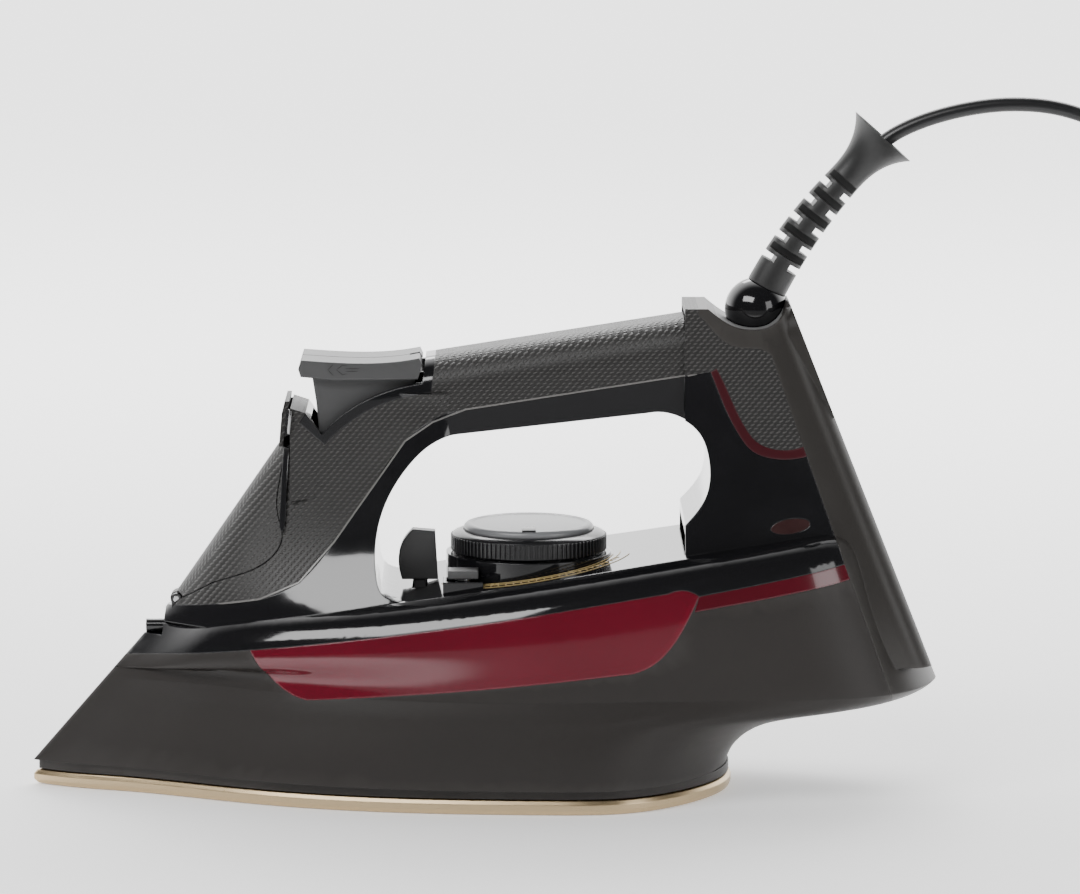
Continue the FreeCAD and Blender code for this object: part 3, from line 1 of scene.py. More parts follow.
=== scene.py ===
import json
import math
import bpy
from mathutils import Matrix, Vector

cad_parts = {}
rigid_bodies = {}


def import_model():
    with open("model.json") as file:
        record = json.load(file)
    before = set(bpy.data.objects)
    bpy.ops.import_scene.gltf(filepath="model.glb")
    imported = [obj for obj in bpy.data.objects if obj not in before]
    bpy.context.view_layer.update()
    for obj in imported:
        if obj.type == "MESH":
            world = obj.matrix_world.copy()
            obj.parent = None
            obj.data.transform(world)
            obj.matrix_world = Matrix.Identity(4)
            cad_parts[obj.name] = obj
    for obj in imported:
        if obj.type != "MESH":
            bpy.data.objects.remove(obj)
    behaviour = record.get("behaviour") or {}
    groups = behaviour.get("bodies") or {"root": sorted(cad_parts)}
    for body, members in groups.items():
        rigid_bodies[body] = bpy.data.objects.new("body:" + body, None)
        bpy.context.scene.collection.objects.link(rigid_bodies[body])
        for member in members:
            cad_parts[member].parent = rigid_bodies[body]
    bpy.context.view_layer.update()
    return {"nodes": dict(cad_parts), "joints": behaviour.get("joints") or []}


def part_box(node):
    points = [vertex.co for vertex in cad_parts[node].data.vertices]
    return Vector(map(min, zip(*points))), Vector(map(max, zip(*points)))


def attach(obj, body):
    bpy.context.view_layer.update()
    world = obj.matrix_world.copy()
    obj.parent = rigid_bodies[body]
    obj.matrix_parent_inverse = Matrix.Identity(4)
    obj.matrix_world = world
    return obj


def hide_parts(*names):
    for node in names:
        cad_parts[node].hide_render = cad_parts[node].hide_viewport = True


bl_info = {
    "name": "Steam Iron",
    "version": (1, 0, 0),
    "blender": (4, 5, 0),
    "location": "View3D > Sidebar > Iron",
    "description": "Finishes a steam iron round its packed frame: dial, cord, marks, materials and studio",
    "category": "Object",
}

import bmesh
import bpy
from mathutils import Matrix, Vector
from mathutils.bvhtree import BVHTree

for start_object in list(bpy.data.objects):
    bpy.data.objects.remove(start_object)

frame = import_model()
NODES = frame["nodes"]
JOINTS = {joint["name"]: joint for joint in frame["joints"]}

# ---- lines of the object, from its frame ------------------------------------------------------
DIAL_X = JOINTS["dial_turn"]["pos_m"][0]
DECK_TILT = 0.155                               # rise of the deck for each metre towards the heel
DECK_Z = 0.0748 + DECK_TILT * (DIAL_X - 0.020)  # the deck under the dial's middle
RING_LOW, RING_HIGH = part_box("temperature_dial")
CAP_LOW, CAP_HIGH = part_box("dial_cap")

# ---- the cord's route from the boot down to the coil ------------------------------------------
CORD_D = 0.0048
CORD_EXIT = (0.12454, 0.0, 0.20935)
CORD_ROUTE = (
    (0.1322, 0, 0.2164), (0.1428, 0, 0.2219), (0.1565, 0, 0.2260), (0.1720, 0, 0.2282),
    (0.1890, 0, 0.2272), (0.2050, 0, 0.2215), (0.2195, 0, 0.2105), (0.2315, 0, 0.1945),
    (0.2405, 0, 0.1745), (0.2465, 0, 0.1510), (0.2505, 0, 0.1260), (0.2535, 0, 0.1010),
    (0.2560, 0, 0.0770), (0.2580, 0, 0.0560), (0.2610, 0, 0.0375), (0.2660, 0, 0.0225),
    (0.2730, 0, 0.0115), (0.2825, 0, 0.0050), (0.2935, 0, 0.0025),
)
COIL_X = 0.326
COIL_MID_R = 0.027
COIL_COLUMNS = 4
COIL_LAYERS = 4
COIL_STUB = 0.021
POINTS_A_TURN = 16
SHIFT_FROM = 0.6          # share of a turn after which the cord moves over to the next one
LAYER_PRESS = 0.995       # layers of the coil lie this much of a diameter apart
FLOOR_GAP = 0.0001
# the way down from the coil's top to the plug: (reach towards the iron, share of the height left)
COIL_DESCENT = (
    (0.007, 1.0), (0.014, 0.93), (0.020, 0.74), (0.026, 0.46), (0.032, 0.18), (0.037, 0.03),
    (0.042, 0.0),
)

# ---- lines drawn on the sides, as (x, z) ------------------------------------------------------
DOOR_BLADE = (
    (-0.0640, 0.1300), (-0.0646, 0.1240), (-0.0654, 0.1160),
    (-0.0660, 0.1060), (-0.0664, 0.0960), (-0.0668, 0.0885),
)
GRIP_FOOT = (
    (0.0700, 0.1407), (-0.0060, 0.1289), (-0.0170, 0.1248), (-0.0261, 0.1186), (-0.0385, 0.1010),
    (-0.0496, 0.0853), (-0.0610, 0.0726), (-0.0740, 0.0668), (-0.0880, 0.0642),
)
ICON_CENTRE = (-0.0462, 0.1418)
ICON_LIFT = 0.0001
RAY_FROM = 0.12           # how far out the rays start that find a side
ON_AXIS = 1e-7            # a radius under this is a point on the axis
# strokes of a button's icon, from its centre
ICON_STROKES = (
    ((-0.0052, 0.0), (-0.0034, 0.0019)),
    ((-0.0052, 0.0), (-0.0034, -0.0019)),
    ((-0.0024, 0.0), (-0.0004, 0.0016), (0.0010, 0.0013)),
    ((-0.0024, 0.0), (-0.0004, -0.0016), (0.0010, -0.0013)),
    ((0.0006, 0.0004), (0.0052, 0.0004)),
    ((0.0006, -0.0005), (0.0046, -0.0005)),
)

# ---- marks printed on the deck ----------------------------------------------------------------
DASH = 0.0007             # half the step of the dashes that make up a printed line
LINE_W = 0.0003
# name, (length, width), count, radius, first angle and step in degrees; no step: dashes end to end
MARK_ROWS = (
    ("inner_arc", (LINE_W, 1.05 * DASH * 2), 54, 0.0287, -158, None),
    ("middle_arc", (LINE_W, 1.05 * DASH * 2), 62, 0.0309, -160, None),
    ("outer_arc", (LINE_W, 1.05 * DASH * 2), 50, 0.0347, -128, None),
    ("heat_ticks", (0.0013, 0.0004), 29, 0.0318, -150, 4.6),
    ("heat_dots", (0.0011, 0.0011), 3, 0.0298, -118, 3.6),
    ("low_dots", (0.0011, 0.0011), 2, 0.0298, -88, 3.6),
    ("lowest_dot", (0.0011, 0.0011), 1, 0.0298, -62, 3.6),
)

# ---- the studio -------------------------------------------------------------------------------
FLOOR_X = 12.0
FLOOR_FRONT, FLOOR_BACK = -4.0, 14.0
SENSOR_WIDTH = 36.0
EYE_X = 0.005
EYE_PIVOT_Z = 0.088
CAMERA_AIM = (0.0185, 0.0, 0.1138)
LIGHT_AIM = (0.0, 0.0, 0.09)


# ---- settings ---------------------------------------------------------------------------------
class IronStudioSettings(bpy.types.PropertyGroup):
    key_power: bpy.props.FloatProperty(
        name="Key light", description="Power of the big soft light", default=34.0, unit="POWER")
    fill_power: bpy.props.FloatProperty(
        name="Fill light", description="Power of the low fill", default=10.0, unit="POWER")
    rim_power: bpy.props.FloatProperty(
        name="Rim light", description="Power of the light behind", default=22.0, unit="POWER")
    sky: bpy.props.FloatProperty(
        name="Surround behind", description="Brightness of the white surround", default=3.0)
    sky_front: bpy.props.FloatProperty(
        name="Surround in front", description="Brightness on the camera's side", default=0.10)
    camera_distance: bpy.props.FloatProperty(
        name="Camera distance", description="From the camera to the iron", default=1.8, unit="LENGTH")
    camera_height: bpy.props.FloatProperty(
        name="Camera elevation", description="Angle above the table",
        default=math.radians(9.3), subtype="ANGLE")
    lens: bpy.props.FloatProperty(
        name="Lens", description="Focal length in millimetres", default=180.0)


class IronFinishSettings(bpy.types.PropertyGroup):
    gloss: bpy.props.FloatVectorProperty(
        name="Gloss black", description="Colour of the gloss housing", subtype="COLOR",
        default=(0.006, 0.006, 0.007))
    skirt: bpy.props.FloatVectorProperty(
        name="Skirt", description="Colour of the matte skirt", subtype="COLOR",
        default=(0.0180, 0.0152, 0.0138))
    cover: bpy.props.FloatVectorProperty(
        name="Cover", description="Colour of the rear cover", subtype="COLOR",
        default=(0.0230, 0.0205, 0.0185))
    grip: bpy.props.FloatVectorProperty(
        name="Grip", description="Colour of the textured grip", subtype="COLOR",
        default=(0.0200, 0.0190, 0.0182))
    tank: bpy.props.FloatVectorProperty(
        name="Tank", description="Colour of the tank", subtype="COLOR", default=(0.17, 0.006, 0.020))
    sole: bpy.props.FloatVectorProperty(
        name="Soleplate", description="Colour of the soleplate", subtype="COLOR",
        default=(0.56, 0.43, 0.26))
    mark: bpy.props.FloatVectorProperty(
        name="Marks", description="Colour of the printed marks", subtype="COLOR",
        default=(0.62, 0.46, 0.20))


class IronShapeSettings(bpy.types.PropertyGroup):
    ribs: bpy.props.IntProperty(name="Dial ribs", description="Ribs round the dial", default=96, min=24)
    rib_depth: bpy.props.FloatProperty(
        name="Rib depth", description="How far a rib stands out", default=0.0006, unit="LENGTH")
    mark_height: bpy.props.FloatProperty(
        name="Mark thickness", description="How far printed marks stand out", default=0.00008,
        unit="LENGTH")


def settings():
    scene = bpy.context.scene
    return scene.iron_studio, scene.iron_finish, scene.iron_shape


# ---- helpers ----------------------------------------------------------------------------------
def add_object(name, data):
    piece = bpy.data.objects.new(name, data)
    bpy.context.scene.collection.objects.link(piece)
    return piece


def mesh_piece(name, bm, smooth_angle=32.0):
    """A finished mesh object from a bmesh, smooth but for its sharp edges."""
    bmesh.ops.recalc_face_normals(bm, faces=bm.faces)
    for face in bm.faces:
        face.smooth = True
    for edge in bm.edges:
        if len(edge.link_faces) == 2 and edge.calc_face_angle(0.0) > math.radians(smooth_angle):
            edge.smooth = False
    mesh = bpy.data.meshes.new(name)
    bm.to_mesh(mesh)
    bm.free()
    return add_object(name, mesh)


def lathe(bm, profile, segments, centre):
    """Turns a profile of (radius, height) about the vertical through centre.

    Ends on the axis are closed.
    """
    rings = []
    for radius, height in profile:
        if radius < ON_AXIS:
            rings.append([bm.verts.new((centre[0], centre[1], height))])
            continue
        ring = []
        for i in range(segments):
            angle = 2 * math.pi * i / segments
            x = centre[0] + radius * math.cos(angle)
            y = centre[1] + radius * math.sin(angle)
            ring.append(bm.verts.new((x, y, height)))
        rings.append(ring)
    for low, high in zip(rings[:-1], rings[1:]):
        for i in range(segments):
            j = (i + 1) % segments
            corners = [low[i % len(low)], low[j % len(low)], high[j % len(high)], high[i % len(high)]]
            unique = list(dict.fromkeys(corners))
            if len(unique) >= 3:
                bm.faces.new(unique)


def bevelled_block(bm, size, centre, bevel):
    """A block with its edges rounded in two steps."""
    made = bmesh.ops.create_cube(bm, size=1.0)["verts"]
    bmesh.ops.scale(bm, vec=size, verts=made)
    edges = list({edge for vert in made for edge in vert.link_edges})
    rounded = bmesh.ops.bevel(bm, geom=edges, offset=bevel, segments=2, profile=0.6, affect="EDGES")
    round_verts = {vert for face in rounded["faces"] for vert in face.verts}
    verts = list(round_verts | {vert for vert in made if vert.is_valid})
    bmesh.ops.translate(bm, vec=centre, verts=verts)


def block_mesh(name, size, bevel):
    """A bevelled block about the origin, as a mesh to be copied."""
    bm = bmesh.new()
    bevelled_block(bm, size, (0.0, 0.0, 0.0), bevel)
    mesh = bpy.data.meshes.new(name)
    bm.to_mesh(mesh)
    bm.free()
    return mesh


def surface_tree(nodes):
    """A search tree over the meshes of some CAD nodes."""
    verts, faces = [], []
    for node in nodes:
        mesh = NODES[node].data
        first = len(verts)
        verts += [vert.co.copy() for vert in mesh.vertices]
        faces += [[first + i for i in face.vertices] for face in mesh.polygons]
    return BVHTree.FromPolygons(verts, faces)


def resampled(path, step):
    """Points along a line of (x, z) at about equal steps."""
    points = [Vector(path[0])]
    for start, end in zip(path[:-1], path[1:]):
        a, b = Vector(start), Vector(end)
        count = max(1, round((b - a).length / step))
        points += [a.lerp(b, (i + 1) / count) for i in range(count)]
    return points


def side_ribbon(bm, tree, path, width, lift, side, sink=0.0004, step=0.0015):
    """A raised line that lies on the object's side along a path of (x, z). Its ends narrow a little."""
    points = resampled(path, step)
    outward = Vector((0.0, side, 0.0))
    rings = []
    for i, point in enumerate(points):
        last = len(points) - 1
        ahead = (points[min(i + 1, last)] - points[max(i - 1, 0)]).normalized()
        across = Vector((-ahead.y, ahead.x))
        taper = min(1.0, 0.35 + 0.5 * min(i, last - i))
        edge_points = []
        for share in (-0.5, 0.5):
            spot = point + across * (share * width * taper)
            start = Vector((spot.x, side * RAY_FROM, spot.y))
            edge_points.append(tree.ray_cast(start, -outward)[0])
        if None in edge_points:
            continue
        low, high = edge_points
        rings.append([bm.verts.new(low - outward * sink), bm.verts.new(low + outward * lift),
                      bm.verts.new(high + outward * lift), bm.verts.new(high - outward * sink)])
    for first, second in zip(rings[:-1], rings[1:]):
        for i in range(4):
            j = (i + 1) % 4
            bm.faces.new((first[i], first[j], second[j], second[i]))
    if len(rings) > 1:
        bm.faces.new(rings[0])
        bm.faces.new(rings[-1])


def ribbons(name, nodes, paths, width, lift, material, body, sides=(-1, 1)):
    """Raised lines on the sides of some CAD nodes, as one piece."""
    bm = bmesh.new()
    tree = surface_tree(nodes)
    for side in sides:
        for path in paths:
            side_ribbon(bm, tree, path, width, lift, side)
    piece = mesh_piece(name, bm, smooth_angle=40.0)
    piece.data.materials.append(material)
    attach(piece, body)


# ---- node trees for what repeats --------------------------------------------------------------
def arc_tree():
    """Copies of one piece along an arc about the vertical, made into one mesh."""
    name = "Pieces along an arc"
    if name in bpy.data.node_groups:
        return bpy.data.node_groups[name]
    tree = bpy.data.node_groups.new(name, "GeometryNodeTree")
    sockets = tree.interface
    sockets.new_socket("Piece", in_out="INPUT", socket_type="NodeSocketObject")
    sockets.new_socket("Count", in_out="INPUT", socket_type="NodeSocketInt")
    for label in ("Radius", "Start", "Step"):
        sockets.new_socket(label, in_out="INPUT", socket_type="NodeSocketFloat")
    sockets.new_socket("Finish", in_out="INPUT", socket_type="NodeSocketMaterial")
    sockets.new_socket("Mesh", in_out="OUTPUT", socket_type="NodeSocketGeometry")
    new = tree.nodes.new
    link = tree.links.new
    given = new("NodeGroupInput")
    out = new("NodeGroupOutput")
    points = new("GeometryNodePoints")
    index = new("GeometryNodeInputIndex")
    angle = new("ShaderNodeMath")
    angle.operation = "MULTIPLY_ADD"
    cosine = new("ShaderNodeMath")
    cosine.operation = "COSINE"
    sine = new("ShaderNodeMath")
    sine.operation = "SINE"
    place = new("ShaderNodeCombineXYZ")
    out_from_axis = new("ShaderNodeVectorMath")
    out_from_axis.operation = "SCALE"
    turn = new("ShaderNodeCombineXYZ")
    info = new("GeometryNodeObjectInfo")
    copies = new("GeometryNodeInstanceOnPoints")
    real = new("GeometryNodeRealizeInstances")
    finish = new("GeometryNodeSetMaterial")
    link(given.outputs["Count"], points.inputs["Count"])
    link(index.outputs[0], angle.inputs[0])
    link(given.outputs["Step"], angle.inputs[1])
    link(given.outputs["Start"], angle.inputs[2])
    link(angle.outputs[0], cosine.inputs[0])
    link(angle.outputs[0], sine.inputs[0])
    link(cosine.outputs[0], place.inputs["X"])
    link(sine.outputs[0], place.inputs["Y"])
    link(place.outputs[0], out_from_axis.inputs[0])
    link(given.outputs["Radius"], out_from_axis.inputs["Scale"])
    link(out_from_axis.outputs[0], points.inputs["Position"])
    link(angle.outputs[0], turn.inputs["Z"])
    link(given.outputs["Piece"], info.inputs["Object"])
    link(points.outputs[0], copies.inputs["Points"])
    link(info.outputs["Geometry"], copies.inputs["Instance"])
    link(turn.outputs[0], copies.inputs["Rotation"])
    link(copies.outputs[0], real.inputs[0])
    link(real.outputs[0], finish.inputs["Geometry"])
    link(given.outputs["Finish"], finish.inputs["Material"])
    link(finish.outputs[0], out.inputs[0])
    return tree


def along_arc(name, unit, count, radius, start, step, material, place):
    """Runs the arc tree on a unit mesh and returns the result as a plain mesh, moved to its place."""
    pattern = add_object(name + "_unit", unit)
    carrier = add_object(name, bpy.data.meshes.new(name))
    modifier = carrier.modifiers.new("Arc", "NODES")
    modifier.node_group = arc_tree()
    values = {
        "Piece": pattern, "Count": count, "Radius": radius, "Start": start, "Step": step,
        "Finish": material,
    }
    for item in modifier.node_group.interface.items_tree:
        if item.in_out == "INPUT":
            modifier[item.identifier] = values[item.name]
    bpy.context.view_layer.update()
    graph = bpy.context.evaluated_depsgraph_get()
    mesh = bpy.data.meshes.new_from_object(carrier.evaluated_get(graph), depsgraph=graph)
    carrier.modifiers.remove(modifier)
    mesh.transform(place)
    mesh.name = name
    carrier.data = mesh
    bpy.data.objects.remove(pattern)
    return carrier


# ---- shared shader groups ---------------------------------------------------------------------
def group_tree(name, inputs, outputs):
    """A new shader group with its sockets, and its input and output nodes."""
    tree = bpy.data.node_groups.new(name, "ShaderNodeTree")
    kinds = {"value": "NodeSocketFloat", "colour": "NodeSocketColor", "vector": "NodeSocketVector"}
    for label, kind, default in inputs:
        socket = tree.interface.new_socket(label, in_out="INPUT", socket_type=kinds[kind])
        if default is not None:
            socket.default_value = default
    for label, kind in outputs:
        tree.interface.new_socket(label, in_out="OUTPUT", socket_type=kinds[kind])
    return tree, tree.nodes.new("NodeGroupInput"), tree.nodes.new("NodeGroupOutput")


def math_node(tree, operation, first=None, second=None, third=None, clamp=False):
    """A math node whose inputs are sockets or numbers."""
    node = tree.nodes.new("ShaderNodeMath")
    node.operation = operation
    node.use_clamp = clamp
    for i, value in enumerate((first, second, third)):
        if value is None:
            continue
        if isinstance(value, (int, float)):
            node.inputs[i].default_value = value
        else:
            tree.links.new(value, node.inputs[i])
    return node.outputs[0]


def mix_colours(tree, factor, first, second):
    """A mix of two colours, each a socket or a list of four numbers."""
    mix = tree.nodes.new("ShaderNodeMix")
    mix.data_type = "RGBA"
    tree.links.new(factor, mix.inputs["Factor"])
    for i, colour in ((6, first), (7, second)):  # the two colour inputs named A and B
        if isinstance(colour, list):
            mix.inputs[i].default_value = colour
        else:
            tree.links.new(colour, mix.inputs[i])
    return mix.outputs[2]


def map_range(tree, value, from_min, from_max, to_min=0.0, to_max=1.0, smooth=True):
    """A value mapped from one range to another, held at its ends."""
    node = tree.nodes.new("ShaderNodeMapRange")
    if smooth:
        node.interpolation_type = "SMOOTHSTEP"
    limits = {"From Min": from_min, "From Max": from_max, "To Min": to_min, "To Max": to_max}
    for label, limit in limits.items():
        node.inputs[label].default_value = limit
    tree.links.new(value, node.inputs["Value"])
    return node.outputs[0]


def scaled(colour, share, extra=0.0):
    """A colour times share, plus extra, as four numbers of which none is over 1."""
    return [min(1.0, part * share + extra) for part in colour] + [1.0]


def noise_node(tree, vector, scale, detail=3.0, roughness=0.5):
    node = tree.nodes.new("ShaderNodeTexNoise")
    node.inputs["Detail"].default_value = detail
    node.inputs["Roughness"].default_value = roughness
    if isinstance(scale, (int, float)):
        node.inputs["Scale"].default_value = scale
    else:
        tree.links.new(scale, node.inputs["Scale"])
    tree.links.new(vector, node.inputs["Vector"])
    return node.outputs["Fac"]


def moulded_group():
    """Moulded plastic: a fine grain for the height, and a roughness that wanders a little."""
    name = "Moulded surface"
    if name in bpy.data.node_groups:
        return bpy.data.node_groups[name]
    tree, given, out = group_tree(
        name,
        [("Vector", "vector", None), ("Grain Scale", "value", 2500.0), ("Rough", "value", 0.4),
         ("Spread", "value", 0.08)],
        [("Height", "value"), ("Roughness", "value"), ("Tone", "value")],
    )
    fine = noise_node(tree, given.outputs["Vector"], given.outputs["Grain Scale"], detail=2.0)
    broad = noise_node(tree, given.outputs["Vector"], 28.0, detail=4.0, roughness=0.6)
    centred = math_node(tree, "SUBTRACT", broad, 0.5)
    rough = math_node(tree, "MULTIPLY_ADD", centred, given.outputs["Spread"], given.outputs["Rough"])
    tree.links.new(fine, out.inputs["Height"])
    tree.links.new(rough, out.inputs["Roughness"])
    tree.links.new(broad, out.inputs["Tone"])
    return tree


def wear_group():
    """Colour that lightens a little on the edges that hands and cloth rub."""
    name = "Rubbed edges"
    if name in bpy.data.node_groups:
        return bpy.data.node_groups[name]
    tree, given, out = group_tree(
        name,
        [("Colour", "colour", None), ("Rubbed Colour", "colour", None), ("Tone", "value", 0.5),
         ("Amount", "value", 0.5)],
        [("Colour", "colour"), ("Mask", "value")],
    )
    geometry = tree.nodes.new("ShaderNodeNewGeometry")
    edge = map_range(tree, geometry.outputs["Pointiness"], 0.52, 0.60, smooth=False)
    broken = math_node(tree, "MULTIPLY", edge, given.outputs["Tone"])
    mask = math_node(tree, "MULTIPLY", broken, given.outputs["Amount"], clamp=True)
    colour = mix_colours(tree, mask, given.outputs["Colour"], given.outputs["Rubbed Colour"])
    tree.links.new(colour, out.inputs["Colour"])
    tree.links.new(mask, out.inputs["Mask"])
    return tree


def dash_group():
    """Rows of small slanted dashes, staggered like brickwork, across the first two coordinates."""
    name = "Slanted dashes"
    if name in bpy.data.node_groups:
        return bpy.data.node_groups[name]
    tree, given, out = group_tree(
        name,
        [("U", "value", 0.0), ("V", "value", 0.0), ("Pitch", "value", 0.0021), ("Row", "value", 0.0012),
         ("Slant", "value", -0.45)],
        [("Height", "value")],
    )
    row = math_node(tree, "DIVIDE", given.outputs["V"], given.outputs["Row"])
    row_number = math_node(tree, "FLOOR", row)
    odd = math_node(tree, "PINGPONG", row_number, 1.0)
    column = math_node(tree, "DIVIDE", given.outputs["U"], given.outputs["Pitch"])
    across = math_node(tree, "MULTIPLY_ADD", odd, 0.5, column)
    in_row = math_node(tree, "SUBTRACT", math_node(tree, "FRACT", row), 0.5)
    in_cell = math_node(tree, "SUBTRACT", math_node(tree, "FRACT", across), 0.5)
    along = math_node(tree, "MULTIPLY", in_cell, 1.75)  # a cell is 1.75 rows long
    slanted = math_node(tree, "MULTIPLY_ADD", along, given.outputs["Slant"], in_row)
    parts = []
    for offset, half, power in ((along, 0.70, 2.5), (slanted, 0.36, 2.0)):
        share = math_node(tree, "ABSOLUTE", math_node(tree, "DIVIDE", offset, half))
        parts.append(math_node(tree, "POWER", share, power))
    distance = math_node(tree, "ADD", *parts)
    height = math_node(tree, "SUBTRACT", 1.0, distance, clamp=True)
    tree.links.new(height, out.inputs["Height"])
    return tree


# ---- materials --------------------------------------------------------------------------------
def blank_material(name):
    """A new material, its Principled shader and the object coordinates."""
    material = bpy.data.materials.new(name)
    material.use_nodes = True
    tree = material.node_tree
    shader = tree.nodes["Principled BSDF"]
    coordinates = tree.nodes.new("ShaderNodeTexCoord")
    return material, tree, shader, coordinates


def place_group(tree, group, links=None, values=None):
    node = tree.nodes.new("ShaderNodeGroup")
    node.node_tree = group
    for label, socket in (links or {}).items():
        tree.links.new(socket, node.inputs[label])
    for label, value in (values or {}).items():
        node.inputs[label].default_value = value
    return node


def bump_on(tree, shader, height, distance, strength=1.0, edge_radius=0.0):
    """Bump from a height in metres of depth, over edges rounded by edge_radius."""
    bump = tree.nodes.new("ShaderNodeBump")
    bump.inputs["Strength"].default_value = strength
    bump.inputs["Distance"].default_value = distance
    tree.links.new(height, bump.inputs["Height"])
    if edge_radius > 0:
        rounded = tree.nodes.new("ShaderNodeBevel")
        rounded.samples = 6
        rounded.inputs["Radius"].default_value = edge_radius
        tree.links.new(rounded.outputs[0], bump.inputs["Normal"])
    tree.links.new(bump.outputs[0], shader.inputs["Normal"])


def plastic(
        name, colour, rough, spread=0.08, grain=2500.0, depth=0.00002, rub=0.5, edge=0.0004, **sockets):
    """Moulded plastic, rubber or coated metal in one colour."""
    if name in bpy.data.materials:
        return bpy.data.materials[name]
    material, tree, shader, coordinates = blank_material(name)
    surface = place_group(
        tree, moulded_group(), {"Vector": coordinates.outputs["Object"]},
        {"Grain Scale": grain, "Rough": rough, "Spread": spread})
    wear = place_group(
        tree, wear_group(), {"Tone": surface.outputs["Tone"]},
        {"Colour": list(colour) + [1.0], "Rubbed Colour": scaled(colour, 1.9, 0.02), "Amount": rub})
    tree.links.new(wear.outputs["Colour"], shader.inputs["Base Color"])
    tree.links.new(surface.outputs["Roughness"], shader.inputs["Roughness"])
    bump_on(tree, shader, surface.outputs["Height"], depth, edge_radius=edge)
    for label, value in sockets.items():
        shader.inputs[label.replace("_", " ")].default_value = value
    return material


def grip_material():
    """The grip's soft plastic with raised dashes on its sides, its top and its front. The dashes are
    painted lighter than the plastic between them, a painted highlight on their tops.
    """
    name = "Grip with dashes"
    if name in bpy.data.materials:
        return bpy.data.materials[name]
    finish = settings()[1]
    material, tree, shader, coordinates = blank_material(name)
    surface = place_group(
        tree, moulded_group(), {"Vector": coordinates.outputs["Object"]},
        {"Grain Scale": 3000.0, "Rough": 0.42, "Spread": 0.1})
    place = tree.nodes.new("ShaderNodeSeparateXYZ")
    facing = tree.nodes.new("ShaderNodeSeparateXYZ")
    tree.links.new(coordinates.outputs["Object"], place.inputs[0])
    tree.links.new(coordinates.outputs["Normal"], facing.inputs[0])
    side = math_node(tree, "GREATER_THAN", math_node(tree, "ABSOLUTE", facing.outputs["Y"]), 0.56)
    slope = math_node(
        tree, "MULTIPLY", math_node(tree, "ADD", place.outputs["X"], place.outputs["Z"]), 0.76)
    back = math_node(tree, "SUBTRACT", 1.0, side)
    flat = {}
    ways = (("U", place.outputs["X"], slope), ("V", place.outputs["Z"], place.outputs["Y"]))
    for label, on_side, on_back in ways:
        near = math_node(tree, "MULTIPLY", on_side, side)
        flat[label] = math_node(tree, "ADD", near, math_node(tree, "MULTIPLY", on_back, back))
    dashes = place_group(tree, dash_group(), flat)
    # painted highlight: the raised dashes get 2.6 times the grip's colour and the plastic between them
    # 0.85 times, standing in for light caught on the dash tops
    dash_highlight_colour = mix_colours(
        tree, dashes.outputs["Height"], scaled(finish.grip, 0.85), scaled(finish.grip, 2.6))
    tree.links.new(dash_highlight_colour, shader.inputs["Base Color"])
    tree.links.new(surface.outputs["Roughness"], shader.inputs["Roughness"])
    bump_on(tree, shader, dashes.outputs["Height"], 0.00035, strength=0.9, edge_radius=0.0004)
    return material


def tank_material(name, rough, transmission, depth=1.0):
    """Crimson plastic that lets light into it, with a faint depth of colour."""
    if name in bpy.data.materials:
        return bpy.data.materials[name]
    finish = settings()[1]
    material, tree, shader, coordinates = blank_material(name)
    cloud = noise_node(tree, coordinates.outputs["Object"], 16.0, detail=3.0)
    tint = mix_colours(
        tree, cloud, scaled(finish.tank, 0.75 * depth), scaled(finish.tank, 1.3 * depth))
    tree.links.new(tint, shader.inputs["Base Color"])
    surface = place_group(
        tree, moulded_group(), {"Vector": coordinates.outputs["Object"]},
        {"Grain Scale": 900.0, "Rough": rough, "Spread": 0.05})
    tree.links.new(surface.outputs["Roughness"], shader.inputs["Roughness"])
    bump_on(tree, shader, surface.outputs["Height"], 0.000004, edge_radius=0.0008)
    shader.inputs["Transmission Weight"].default_value = transmission
    shader.inputs["IOR"].default_value = 1.49
    shader.inputs["Coat Weight"].default_value = 0.6
    shader.inputs["Coat Roughness"].default_value = 0.05
    return material


def metal(name, colour, rough, stretch=(1.0, 1.0, 1.0), scale=900.0, depth=0.000006, edge=0.0003):
    """Metal with fine lines drawn out along one way."""
    if name in bpy.data.materials:
        return bpy.data.materials[name]
    material, tree, shader, coordinates = blank_material(name)
    mapping = tree.nodes.new("ShaderNodeMapping")
    mapping.inputs["Scale"].default_value = stretch
    tree.links.new(coordinates.outputs["Object"], mapping.inputs["Vector"])
    lines = noise_node(tree, mapping.outputs[0], scale, detail=4.0, roughness=0.65)
    tint = mix_colours(tree, lines, scaled(colour, 0.88), scaled(colour, 1.08))
    tree.links.new(tint, shader.inputs["Base Color"])
    spread = math_node(tree, "MULTIPLY_ADD", lines, 0.16, rough - 0.08)
    tree.links.new(spread, shader.inputs["Roughness"])
    bump_on(tree, shader, lines, depth, edge_radius=edge)
    shader.inputs["Metallic"].default_value = 1.0
    return material


def floor_material():
    """White where the camera sees it and dark in front, so that gloss sides don't mirror white."""
    name = "Studio floor"
    if name in bpy.data.materials:
        return bpy.data.materials[name]
    material, tree, shader, coordinates = blank_material(name)
    place = tree.nodes.new("ShaderNodeSeparateXYZ")
    tree.links.new(coordinates.outputs["Object"], place.inputs[0])
    shade = map_range(tree, place.outputs["Y"], -0.55, -0.26, 0.03, 0.90)
    tree.links.new(shade, shader.inputs["Base Color"])
    shader.inputs["Roughness"].default_value = 0.8
    # painted light: the floor glows, weakly near the iron and more strongly far off, so that the backdrop
    # comes out white
    glow = map_range(tree, place.outputs["Y"], -0.3, 1.2, 0.30, 1.8)
    shader.inputs["Emission Color"].default_value = (1.0, 1.0, 1.0, 1.0)
    tree.links.new(glow, shader.inputs["Emission Strength"])
    return material


def paint(node, material):
    """Gives a CAD node one material."""
    if not NODES[node].material_slots:
        NODES[node].data.materials.append(material)
    for slot in NODES[node].material_slots:
        slot.material = material


